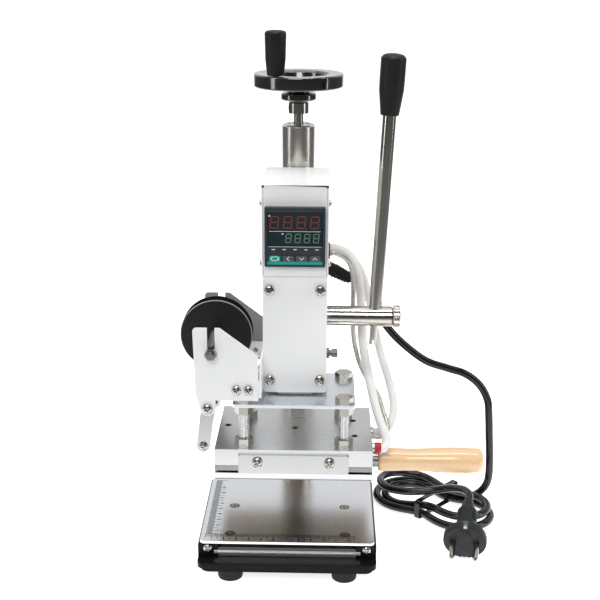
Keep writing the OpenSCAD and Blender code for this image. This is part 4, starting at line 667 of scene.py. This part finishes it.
soft_box("overhead", (0.0, 0.1, 2.2), (0.0, 0.0, 0.0), 2.0, 1.6, 13)
soft_box("top_strip", (0.15, -0.30, 1.9), (0.1, 0.0, 0.1), 1.1, 0.16, 10)
soft_box("left_strip", (-1.5, -0.6, 0.8), (0.0, 0.0, 0.2), 0.35, 1.6, 6)
soft_box("right_strip", (1.5, -0.35, 0.8), (0.0, 0.0, 0.2), 0.30, 1.6, 7)
soft_box("front_fill", (-0.3, -2.0, 1.7), (0.0, 0.0, 0.15), 1.4, 0.9, 27)
bpy.context.scene.view_settings.view_transform = "Standard"

# %% [markdown]
# ## Finishes on the solid model
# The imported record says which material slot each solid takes, so most finishes are put on by that list. Some
# parts share a slot in the record but look different on the machine: the guide arms and plates are bright
# sheet steel, the column is satin, the mains plug has a coarser grain than the grips, and the die plate, the
# carriage, the foil brackets and the reel have the finishes that change with place.

# %% Put the finishes on
SLOTS = {row["node"]: row["material_slot"] for row in frame["record"]["subparts"]}
LOOKS = dict(SLOTS, guide_arms="sheet_steel", guide_plates="sheet_steel", cartridge_heaters="sheet_steel",
             press_fasteners="screws", column_nut="screws", column="column", table_carriage="carriage",
             die_plate="die", foil_brackets="bracket", reel_flanges="reel", mains_plug="plug_plastic")


def dress(piece, look):
    piece.data.materials.clear()
    piece.data.materials.append(FINISHES[look])


for name, node in nodes.items():
    dress(node, LOOKS[name])
dress(mains_cord, "cord")
for name, lead in leads.items():
    sheath = "braid" if name == "thermocouple" else "sleeve"
    dress(lead, sheath)
print("finishes on", len(nodes), "solids and", len(leads) + 1, "cords")

# %% [markdown]
# ## Eased edges
# No real edge is perfectly sharp: sheet is rolled round a radius, castings are painted, and milled blocks are
# deburred. The highlight on such an edge is what makes a part look solid. So each solid with plain sharp
# edges gets a copy with its triangles joined into whole faces, a narrow bevel, and weighted normals, which
# keep the big faces flat. The copy rides on the same body and stands for the solid.

# %% Helpers for copies
def pick(piece):
    """Makes this the one selected and active object."""
    bpy.ops.object.select_all(action="DESELECT")
    piece.select_set(True)
    bpy.context.view_layer.objects.active = piece


def apply_modifier(piece, kind, **settings):
    pick(piece)
    modifier = piece.modifiers.new(kind.lower(), kind)
    for name, value in settings.items():
        setattr(modifier, name, value)
    bpy.ops.object.modifier_apply(modifier=modifier.name)


def ease_edges(piece, width, segments=2, angle=40):
    """A narrow bevel, its width in millimetres, on the edges that turn by more than the angle."""
    apply_modifier(piece, "BEVEL", width=width * MM, segments=segments, limit_method="ANGLE",
                   angle_limit=math.radians(angle))


def smooth_by(angle):
    """Smooth shading on the active piece, with edges kept where its faces turn by more than the angle."""
    bpy.ops.object.shade_smooth_by_angle(angle=math.radians(angle))


def whole_copy(node, name):
    """A copy of a solid's mesh, its loose triangles joined into whole faces."""
    piece = bpy.data.objects.new(name, nodes[node].data.copy())
    bpy.context.scene.collection.objects.link(piece)
    pick(piece)
    bpy.ops.mesh.customdata_custom_splitnormals_clear()
    bpy.ops.object.mode_set(mode="EDIT")
    bpy.ops.mesh.select_all(action="SELECT")
    bpy.ops.mesh.remove_doubles(threshold=0.000002)
    bpy.ops.mesh.dissolve_limited(angle_limit=math.radians(1.0))
    bpy.ops.object.mode_set(mode="OBJECT")
    return piece


def stand_in(piece, node):
    """The piece rides on the node's body and stands for it."""
    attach(piece, nodes[node]["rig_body"])
    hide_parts(node)


print("helpers for copies ready")


# %% Eased copies
def eased(node, width):
    piece = whole_copy(node, node + "_eased")
    ease_edges(piece, width, angle=28)
    smooth_by(40)
    apply_modifier(piece, "WEIGHTED_NORMAL", weight=60, keep_sharp=True)
    stand_in(piece, node)
    print("eased %s by %.2f mm: %d faces" % (node, width, len(piece.data.polygons)))
    return piece


EASED = {
    "base_plate": 0.9, "table_rails": 0.6, "table_carriage": 0.4, "table_spacer": 0.3, "work_plate": 0.35,
    "column_flange": 0.6, "head_body": 0.8, "front_cover": 0.5, "hood_shell": 0.7, "hood_panel": 0.4,
    "foil_mount": 0.5, "foil_brackets": 0.5, "upper_plate": 0.4, "heat_block": 0.6,
    "slideway_plate": 0.3, "guide_plates": 0.25, "die_plate": 0.4, "reel_flanges": 0.4, "guide_arms": 0.5,
    "key_mode": 0.35, "key_shift": 0.35, "key_down": 0.35, "key_up": 0.35, "ram": 0.3, "base_fasteners": 0.2,
    "head_screws": 0.2, "press_fasteners": 0.25, "reel_shaft": 0.2, "handle_ferrule": 0.3, "lever_rod": 0.3,
    "column": 0.3, "rubber_feet": 0.5, "lever_grip": 0.6, "crank_grip": 0.5, "handwheel": 0.6,
}
for node, width in EASED.items():
    eased(node, width)

# %% [markdown]
# ## Coils and threads
# A spring and a screw thread are the same form: one small section, turned about an axis and lifted on the
# way. A Screw modifier does exactly that to a circle. The springs have a wide turn and a round wire. On the
# bolts the coil is so tight that only a ridge stands out of the plain shank, which is how a rolled thread
# looks. The lead screw's thread is oiled, so its ridge is dark.

# %% Helpers for places and repeated pieces
def moved(place):
    """A shift to a place in millimetres."""
    return Matrix.Translation(Vector(place) * MM)


def turned(degrees, axis):
    return Matrix.Rotation(math.radians(degrees), 4, axis)


def seat(piece, place):
    """Moves a piece that was made at the origin, and keeps the place in its mesh."""
    piece.matrix_world = place
    pick(piece)
    bpy.ops.object.transform_apply(location=True, rotation=True, scale=True)
    return piece


def twin(piece, name, place):
    """A copy with its own mesh, at another place."""
    copy = bpy.data.objects.new(name, piece.data.copy())
    bpy.context.scene.collection.objects.link(copy)
    return seat(copy, place)


def at_each(piece, label, places):
    """The piece at the first place, and numbered copies of it at the others."""
    copies = [twin(piece, "%s_%d" % (label, n), place) for n, place in enumerate(places[1:], 2)]
    return [seat(piece, places[0])] + copies


def fitted(piece, look, body):
    """Gives a piece its finish, the body that it rides on and, where it has one, its material slot."""
    dress(piece, look)
    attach(piece, body)
    return piece


print("helpers for places ready")


# %% Helper for coils
def helix(name, wire, radius, pitch, turns, sides=10, steps=28):
    """A round section of radius `wire`, turned about Z and lifted, all in millimetres."""
    piece = primitive(bpy.ops.mesh.primitive_circle_add, name, vertices=sides, radius=wire * MM,
                      location=(radius * MM, 0, 0), rotation=(math.pi / 2, 0, 0))
    bpy.ops.object.transform_apply(location=True, rotation=True, scale=True)
    apply_modifier(piece, "SCREW", axis="Z", angle=2 * math.pi, screw_offset=pitch * MM, iterations=turns,
                   steps=steps, render_steps=steps, use_smooth_shade=True)
    bpy.ops.object.mode_set(mode="EDIT")
    bpy.ops.mesh.select_all(action="SELECT")
    bpy.ops.mesh.remove_doubles(threshold=0.000001)
    bpy.ops.mesh.fill_holes(sides=0)
    bpy.ops.mesh.normals_make_consistent(inside=False)
    bpy.ops.object.mode_set(mode="OBJECT")
    return piece


print("helper for coils ready")


def spring(name, node, wire, radius, turns, axis, turn):
    """A coil in the place of a plain spring along axis 0, 1 or 2. The turn brings Z to that axis."""
    low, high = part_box(node)
    coil = helix(name, wire, radius, ((high - low)[axis] / MM - 2 * wire) / turns, turns)
    foot = (low + high) / 2
    foot[axis] = low[axis] + wire * MM
    seat(coil, Matrix.Translation(foot) @ turn)
    dress(coil, "dark_steel")
    stand_in(coil, node)
    print("%s: %d faces" % (name, len(coil.data.polygons)))
    return coil


return_coil = spring("return_coil", "return_spring", 0.6, 3.9, 14, 2, Matrix.Identity(4))
low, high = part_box("return_spring")
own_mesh(return_coil)
spring("reel_coil", "reel_spring", 0.5, 4.5, 16, 1, turned(-90, "X"))

# %% Threads on the spacing bolts and the lead screw
MIDDLE_X, COLUMN_Y = 4.0, 62.5
BOLT_X, BOLT_ROWS, BOLT_FOOT = 40.75, (-45.25, 13.25), 102.5
LEAD_SCREW_FOOT = 345.5

bolt_thread = helix("bolt_thread_1", 0.55, 3.86, 1.5, 19, sides=6, steps=20)
bolt_places = [moved((MIDDLE_X + side * BOLT_X, y, BOLT_FOOT)) for side in (-1, 1) for y in BOLT_ROWS]
for thread in at_each(bolt_thread, "bolt_thread", bolt_places):
    fitted(thread, "zinc", "ram")
screw_thread = helix("lead_screw_thread", 0.45, 3.64, 1.25, 8, sides=6, steps=20)
seat(screw_thread, moved((MIDDLE_X, COLUMN_Y, LEAD_SCREW_FOOT)))
fitted(screw_thread, "dark_steel", "handwheel")
print("threads:", len(bolt_places) + 1)

# %% [markdown]
# ## Knurled thumb screw
# The thumb screw is gripped by its straight knurl: fine grooves along the rim. A cylinder with many sides is
# a start, and every second upright edge is then pulled in towards the axis.

# %% Knurl
KNURL_SIDES, KNURL_WIDTH, KNURL_IN, KNURL_PROUD, GROOVE = 112, 4.3, 3.0, 0.16, 0.955
low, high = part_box("thumb_screw")
centre = (low + high) / 2
knurl = primitive(bpy.ops.mesh.primitive_cylinder_add, "thumb_screw_knurl", vertices=KNURL_SIDES,
                  radius=(high.z - low.z) / 2 + KNURL_PROUD * MM, depth=KNURL_WIDTH * MM,
                  end_fill_type="NGON")
bpy.ops.object.mode_set(mode="EDIT")
bpy.ops.mesh.select_mode(type="VERT")
bpy.ops.mesh.select_all(action="DESELECT")
bpy.ops.object.mode_set(mode="OBJECT")
for corner in knurl.data.vertices:
    turn = math.atan2(corner.co.y, corner.co.x) / (2 * math.pi)
    corner.select = round(turn * KNURL_SIDES) % 2 == 0
bpy.ops.object.mode_set(mode="EDIT")
bpy.ops.transform.resize(value=(GROOVE, GROOVE, 1.0), center_override=(0, 0, 0))
bpy.ops.object.mode_set(mode="OBJECT")
seat(knurl, Matrix.Translation((high.x - KNURL_IN * MM, centre.y, centre.z)) @ turned(90, "Y"))
fitted(knurl, "nickel", "thumb_screw")
print("knurl:", len(knurl.data.polygons), "faces")

# %% [markdown]
# ## Ruler on the work plate
# The plate carries two etched rulers that share one corner. Etched marks are dark and flush. Here each mark
# is a thin flat block a few hundredths of a millimetre high, repeated with an Array modifier: millimetres,
# half centimetres and centimetres. The figures are text, turned into meshes.

# %% Ruler ticks
# This dark ink also serves as painted shade in the countersinks, the hood's seams and its relief holes.
ink_and_painted_shade = Finish("etched_ink_and_shade", Metallic=0.0, Specular_IOR_Level=0.04)
wear = ink_and_painted_shade.noise(900.0, detail=3.0)
ink_and_painted_shade.give(Base_Color=ink_and_painted_shade.blend(wear, (0.003, 0.003, 0.003), (0.012, 0.012, 0.012)), Roughness=0.7 + 0.2 * wear)
keep("ink_and_painted_shade", ink_and_painted_shade)
PLATE_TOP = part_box("work_plate")[1].z
RULE_X, RULE_Y, RULE_Z = -66.0, -79.4, PLATE_TOP / MM
TICK_WIDTH, TICK_THICK = 0.40, 0.06


def block(name, size, centre):
    """A block of that size in millimetres about its centre."""
    piece = primitive(bpy.ops.mesh.primitive_cube_add, name, size=1.0)
    return seat(piece, moved(centre) @ Matrix.Diagonal((*(s * MM for s in size), 1.0)))


def tick_row(name, count, step, size, centre):
    row = block(name, size, centre)
    apply_modifier(row, "ARRAY", count=count, use_relative_offset=False, use_constant_offset=True,
                   constant_offset_displace=Vector(step) * MM)
    fitted(row, "ink_and_painted_shade", "worktable")


for name, every, reach in (("millimetres", 1, 5.2), ("half_centimetres", 5, 6.6), ("centimetres", 10, 9.2)):
    tick_row("ruler_front_" + name, 120 // every + 1, (every, 0, 0), (TICK_WIDTH, reach, TICK_THICK),
             (RULE_X, RULE_Y - reach / 2, RULE_Z))
    tick_row("ruler_side_" + name, 100 // every + 1, (0, every, 0), (reach, TICK_WIDTH, TICK_THICK),
             (RULE_X + reach / 2, RULE_Y, RULE_Z))
print("ruler: 6 rows of ticks")

# %% Ruler figures
FIGURE_SIZE, FIGURE_IN = 3.9, 8.4


def joined(pieces, name):
    """Joins finished pieces into one."""
    pick(pieces[0])
    for piece in pieces:
        piece.select_set(True)
    bpy.ops.object.join()
    pieces[0].name = pieces[0].data.name = name
    return pieces[0]


def figure(number, centre, turn):
    bpy.ops.object.select_all(action="DESELECT")
    bpy.ops.object.text_add()
    words = bpy.context.object.data
    words.body = str(number)
    words.size = FIGURE_SIZE * MM
    words.align_x = words.align_y = "CENTER"
    words.extrude = TICK_THICK / 2 * MM
    words.offset = 0.14 * MM
    words.resolution_u = 3
    bpy.ops.object.convert(target="MESH")
    return seat(bpy.context.object, moved(centre) @ turned(turn, "Z"))


figures = [figure(n, (RULE_X + 10 * n - 5.0, RULE_Y - FIGURE_IN, RULE_Z), 0) for n in range(1, 13)]
figures += [figure(n, (RULE_X + FIGURE_IN, RULE_Y + 10 * n - 5.0, RULE_Z), 90) for n in range(1, 10)]
ruler_figures = fitted(joined(figures, "ruler_figures"), "ink_and_painted_shade", "worktable")
print("ruler figures:", len(ruler_figures.data.polygons), "faces")

# %% [markdown]
# ## Grub screws and countersinks: painted shade
# The holes in the heated block get black discs shaped as grub screws, a little below its top: painted shade in
# the holes. The screws of the work plate sit in countersinks, and a dark ring of painted shade marks the
# narrow gap round each head. A torus, pressed flat, is enough for a gap.

# %% Grub screws as painted shade in the holes
SHADE_SCREW_R, SHADE_SCREW_DEEP = 2.7, 1.7
block_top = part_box("heat_block")[1].z
shade_screw = primitive(bpy.ops.mesh.primitive_cylinder_add, "hole_shade_screw_1", vertices=32, radius=SHADE_SCREW_R * MM,
                 depth=1.6 * MM)
hexagon = primitive(bpy.ops.mesh.primitive_cylinder_add, "hexagon", vertices=6, radius=1.5 * MM,
                    depth=2.4 * MM, location=(0, 0, 1.2 * MM))
apply_modifier(shade_screw, "BOOLEAN", operation="DIFFERENCE", solver="EXACT", object=hexagon)
bpy.data.objects.remove(hexagon)
ease_edges(shade_screw, 0.2)
smooth_by(35)
shade_screw_places = [Matrix.Translation((x * MM, y * MM, block_top - SHADE_SCREW_DEEP * MM))
               for x, y in ((4, -9.5), (-53, -5.5), (53, 7.5), (54, -25.5))]
for piece in at_each(shade_screw, "hole_shade_screw", shade_screw_places):
    fitted(piece, "black_plastic", "ram")
print("grub screws:", len(shade_screw_places))

# %% Countersinks: dark rings of painted shade
SCREW_X, GAP_FLAT = 46.4 * MM, 0.12
low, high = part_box("work_plate_screws")
head_r = high.x - SCREW_X
countersink_shade_ring = primitive(bpy.ops.mesh.primitive_torus_add, "countersink_shade_1", major_segments=40, minor_segments=8,
                 major_radius=head_r, minor_radius=0.5 * MM)
ring_places = [Matrix.Translation((side * SCREW_X, y, PLATE_TOP)) @ Matrix.Diagonal((1, 1, GAP_FLAT, 1))
               for side in (-1, 1) for y in (low.y + head_r, high.y - head_r)]
for piece in at_each(countersink_shade_ring, "countersink_shade", ring_places):
    fitted(piece, "ink_and_painted_shade", "worktable")
print("countersinks:", len(ring_places))

# %% [markdown]
# ## Controller face
# The panel controller has a moulded frame round a smoked window. Behind the window lie unlit figures, four
# large red ones over four small green ones, with thin printed rules between them. Figures, rules and the teal
# strip get a faint painted glow. A figure is seven bars with pointed ends. One bar is modelled, copied and
# turned for each place, and the whole figure is then slanted.

# %% Finishes of the face
WINDOW_FOOT, WINDOW_HEAD = 0.262, 0.294
glass = Finish("smoked_window", Metallic=0.0, Roughness=0.07, IOR=1.5)
tint = glass.range(glass.axis(glass.place(), "Z"), WINDOW_FOOT, WINDOW_HEAD) + 0.25 * glass.noise(60.0)
glass.give(Base_Color=glass.blend(tint, (0.004, 0.018, 0.020), (0.012, 0.022, 0.030)))
keep("window", glass)


def lamp_finish(name, dark, bright, painted_glow):
    """An unlit lamp or a print: a dull colour with a faint painted glow, uneven at the scale of its chips."""
    lamp = Finish(name, Metallic=0.0, Roughness=0.45, Emission_Strength=painted_glow)
    chips = lamp.blend(lamp.noise(1800.0, detail=1.0), dark, bright)
    return lamp.give(Base_Color=chips, Emission_Color=chips)


# Painted glow: the unlit figures, the print and the teal strip shine faintly though nothing lights them.
keep("red_segment", lamp_finish("red_segment", (0.080, 0.011, 0.010), (0.160, 0.022, 0.018), 0.25))
keep("green_segment", lamp_finish("green_segment", (0.045, 0.095, 0.070), (0.095, 0.18, 0.135), 0.25))
keep("print", lamp_finish("white_print", (0.42, 0.47, 0.48), (0.66, 0.70, 0.70), 0.15))
keep("teal_strip", lamp_finish("teal_strip", (0.003, 0.20, 0.16), (0.008, 0.30, 0.25), 0.15))

# %% Frame, window and rules
FACE = Vector((MIDDLE_X * MM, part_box("controller_case")[0].y, 0.2708))
FACING = turned(90, "X")
PRINT_THICK, ON_WINDOW, ON_CASE = 0.12, 0.26, -0.08


def on_face(name, width, height, thick, x, z, sunk):
    """A flat block on the face: its size, its place, and how deep its front lies, in millimetres."""
    piece = block(name, (width, thick, height), (0, 0, 0))
    apply_modifier(piece, "BEVEL", width=0.3 * thick * MM, segments=2)
    return seat(piece, Matrix.Translation(FACE + Vector((x, sunk + thick / 2, z)) * MM))


bezel = primitive(bpy.ops.mesh.primitive_plane_add, "controller_frame", size=47.6 * MM)
bpy.ops.object.mode_set(mode="EDIT")
bpy.ops.mesh.select_all(action="SELECT")
bpy.ops.mesh.bevel(offset=1.6 * MM, segments=4, affect="VERTICES")
bpy.ops.mesh.inset(thickness=1.5 * MM)
bpy.ops.mesh.delete(type="FACE")
bpy.ops.object.mode_set(mode="OBJECT")
apply_modifier(bezel, "SOLIDIFY", thickness=0.9 * MM, offset=0.0)
ease_edges(bezel, 0.25)
smooth_by(35)
seat(bezel, Matrix.Translation(FACE) @ FACING)
marks = [(40.5, 0.35, 0, 4.8, ON_WINDOW), (1.2, 1.2, -20.2, 17.2, ON_WINDOW),
         (1.4, 0.9, -9.7, 2.8, ON_WINDOW), (42.0, 0.30, 0, -7.6, ON_CASE)]
marks += [(2.6, 0.7, x, -9.8, ON_CASE) for x in (-17, -8.4, 0.2, 8.8, 17.4)]
rules = joined([on_face("rule", w, h, PRINT_THICK, *at) for w, h, *at in marks], "controller_rules")
window = on_face("controller_window", 43.6, 27.6, 0.5, 0, 7.2, 0.35)
strip = on_face("controller_strip", 43.6, 2.5, 0.3, 0, -20.8, -0.2)
for piece, look in ((bezel, "controller"), (window, "window"), (rules, "print"), (strip, "teal_strip")):
    fitted(piece, look, "head")
print("controller face: frame, window, rules and strip")


# %% Seven-segment figures
BAR_GAP, POINT_OUT, SLANT, FIGURE_SUNK = 0.15, 0.9, 0.10, 0.32


def bar(length, thick):
    """One bar with pointed ends, flat in the X-Y plane and centred."""
    a, b = length / 2 * MM, thick / 2 * MM
    outline = [(-a, 0, 0), (b - a, -b, 0), (a - b, -b, 0), (a, 0, 0), (a - b, b, 0), (b - a, b, 0)]
    mesh = bpy.data.meshes.new("bar")
    mesh.from_pydata(outline, [], [tuple(range(len(outline)))])
    piece = bpy.data.objects.new("bar", mesh)
    bpy.context.scene.collection.objects.link(piece)
    return piece


def eight(name, width, height, thick, x, z, look):
    """Seven bars and a point, slanted and set on the window."""
    w, h = width - thick, (height - thick) / 2
    flat_bar, tall_bar = bar(w - BAR_GAP, thick), bar(h - BAR_GAP, thick)
    pieces = [twin(flat_bar, "bar", moved((0, y * h, 0))) for y in (-1, 0, 1)]
    pieces += [twin(tall_bar, "bar", moved((s * w / 2, y * h / 2, 0)) @ turned(90, "Z"))
               for s in (-1, 1) for y in (-1, 1)]
    point_at = moved((width / 2 + POINT_OUT, -height / 2, 0))
    pieces.append(seat(flat_bar, point_at @ Matrix.Diagonal((0.13, 0.8, 1, 1))))
    bpy.data.objects.remove(tall_bar)
    whole = joined(pieces, name)
    whole.data.transform(Matrix.Shear("XZ", 4, (SLANT, 0.0)))
    apply_modifier(whole, "SOLIDIFY", thickness=0.06 * MM, offset=0.0)
    seat(whole, Matrix.Translation(FACE + Vector((x, FIGURE_SUNK, z)) * MM) @ FACING)
    fitted(whole, look, "head")


for n in range(4):
    eight("large_figure_%d" % (n + 1), 7.2, 10.2, 1.0, -16.2 + 10.6 * n, 12.1, "red_segment")
    eight("small_figure_%d" % (n + 1), 4.8, 7.6, 0.8, -5.1 + 7.3 * n, -0.7, "green_segment")
print("figures: 8")

# %% [markdown]
# Each key carries a plain printed sign: three chevrons and a ring. A chevron is two flat strokes that meet at
# a point, and the ring is a flattened torus. A sign rides on its key, so it moves when the key is pressed.

# %% Signs on the keys
def front_of(node):
    """The middle of a node's front."""
    low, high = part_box(node)
    return Vector(((low.x + high.x) / 2, low.y, (low.z + high.z) / 2))


def chevron(name, key, turn):
    strokes = [seat(block(name, (2.5, 0.55, 0.12), (0, 0, 0)),
                    moved((side * 0.85, 0, 0)) @ turned(side * 50, "Z")) for side in (-1, 1)]
    sign = joined(strokes, name)
    seat(sign, Matrix.Translation(front_of(key)) @ FACING @ turned(turn, "Z"))
    fitted(sign, "print", key)


chevron("sign_down", "key_down", 0)
chevron("sign_up", "key_up", 180)
chevron("sign_shift", "key_shift", -90)
loop = primitive(bpy.ops.mesh.primitive_torus_add, "sign_mode", major_segments=40, minor_segments=8,
                 major_radius=1.5 * MM, minor_radius=0.22 * MM)
seat(loop, Matrix.Translation(front_of("key_mode")) @ FACING @ Matrix.Diagonal((2.0, 1.1, 0.6, 1)))
fitted(loop, "print", "key_mode")
print("signs on 4 keys")

# %% [markdown]
# ## Seams of the hood
# The front panel of the hood is pushed in between the folded sides of the shell. A narrow dark strip of
# painted shade marks the seam at each side of it, and at each upper corner a dark disc paints the shade in a
# round relief hole, which keeps the sheet from tearing where it is folded.

# %% Seams of the hood
low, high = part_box("hood_panel")
height = (high.z - low.z) / MM
for side, x in (("left", low.x), ("right", high.x)):
    # Painted shade: a dark strip in each seam and a dark disc in each relief hole.
    seam_shadow = block("hood_seam_shadow_" + side, (0.35, 0.2, height), (x / MM, low.y / MM, low.z / MM + height / 2))
    apply_modifier(seam_shadow, "BEVEL", width=0.05 * MM, segments=2)
    hole_shade = primitive(bpy.ops.mesh.primitive_cylinder_add, "relief_hole_shade_" + side, vertices=24,
                     radius=0.95 * MM, depth=0.24 * MM)
    ease_edges(hole_shade, 0.05)
    seat(hole_shade, Matrix.Translation((x, low.y, high.z)) @ FACING)
    for piece in (seam_shadow, hole_shade):
        fitted(piece, "ink_and_painted_shade", "head")
print("hood: 2 seams and 2 relief holes")

# %% [markdown]
# ## Mains plug
# The plug is moulded on its cord in one shot: a round rim with a notch for the earth clip, a waist, a ribbed
# grip and a tapering neck. The eased copy of the solid gets its notches with a Boolean, and the inserts, the
# clips and the ribs are pieces of their own, set in the plug's axes.

# %% Plug
across = Vector((math.cos(plug_yaw), -math.sin(plug_yaw), 0.0))
plug_frame = Matrix((across, plug_axis.cross(across), plug_axis)).transposed().to_4x4()
plug_frame.translation = PLUG_AT * MM


def on_plug(name, size, centre, ease_width):
    """An eased block in the plug's axes: X across, Y up, Z along the pins."""
    piece = block(name, size, centre)
    apply_modifier(piece, "BEVEL", width=ease_width * MM, segments=3)
    smooth_by(35)
    return seat(piece, plug_frame)


plug = eased("mains_plug", 0.6)
for side in (-1, 1):
    notch = on_plug("notch", (4.6, 5.0, 12.0), (0, side * 17.2, -3.5), 0.3)
    apply_modifier(plug, "BOOLEAN", operation="DIFFERENCE", solver="EXACT", object=notch)
    bpy.data.objects.remove(notch)
inserts = [on_plug("insert", (4.4, 2.2, 8.2), (0, side * 15.6, -4.6), 0.3) for side in (-1, 1)]
clips = [on_plug("clip", (2.8, 0.7, 3.6), (0, side * 16.8, -1.7), 0.15) for side in (-1, 1)]
grip = [on_plug("grip", (16.8, 11.0, 9.0), (0, 0, -28.0), 1.6)]
grip += [on_plug("rib", (12.0, 13.4, 1.1), (0, 0, -24.6 - 2.2 * n), 0.4) for n in range(4)]
plug_insert = fitted(joined(inserts, "plug_insert"), "insert", "base")
plug_clip = fitted(joined(clips, "plug_clip"), "screws", "base")
plug_grip = fitted(joined(grip, "plug_grip"), "plug_plastic", "base")
print("plug:", len(plug.data.polygons), "faces, with notches, inserts, clips and grip")

# %% [markdown]
# The mains cord, its tie and its plug belong together. The photo shows the whole cord in its hank, so the
# cord's length is the length of the route.

cord_tie = eased("cord_tie", 0.2)
length_of(mains_path)
print("mains cord declared: %.3f m" % length_of(mains_path))

# %% [markdown]
# ## Small rubber and red pieces
# The strain relief is ribbed so that it bends in a curve. Each rib is a torus on the relief's axis. The front
# heater's lead has a red shrink collar where it meets the heater.

# %% Strain relief ribs
RIB_START, RIB_STEP = 7.5, 3.2
GLAND_START, GLAND_R, GLAND_TAPER = 5.0, 5.45, 0.058
tilt = gland_axis.to_track_quat("Z", "Y").to_matrix().to_4x4()
for n in range(5):
    reach = RIB_START + RIB_STEP * n
    rib = primitive(bpy.ops.mesh.primitive_torus_add, "relief_rib_%d" % (n + 1), major_segments=40,
                    minor_segments=10, minor_radius=0.75 * MM,
                    major_radius=(GLAND_R - GLAND_TAPER * (reach - GLAND_START)) * MM)
    bpy.ops.object.shade_smooth()
    seat(rib, moved(GLAND_AT + reach * gland_axis) @ tilt)
    fitted(rib, "rubber", "head")
print("strain relief: 5 ribs")

# %% Collar of the front heater's lead
COLLAR_R, COLLAR_LENGTH, COLLAR_OUT = 4.35, 5.4, 2.85
heater_end = Vector(LEADS["front_heater_lead"][-1])
collar = primitive(bpy.ops.mesh.primitive_cylinder_add, "lead_collar", vertices=40, radius=COLLAR_R * MM,
                   depth=COLLAR_LENGTH * MM)
ease_edges(collar, 0.5, segments=3)
smooth_by(35)
seat(collar, moved(heater_end + Vector((COLLAR_OUT, 0, 0))) @ turned(90, "Y"))
fitted(collar, "red_shrink", "ram")
print("collar:", len(collar.data.polygons), "faces")
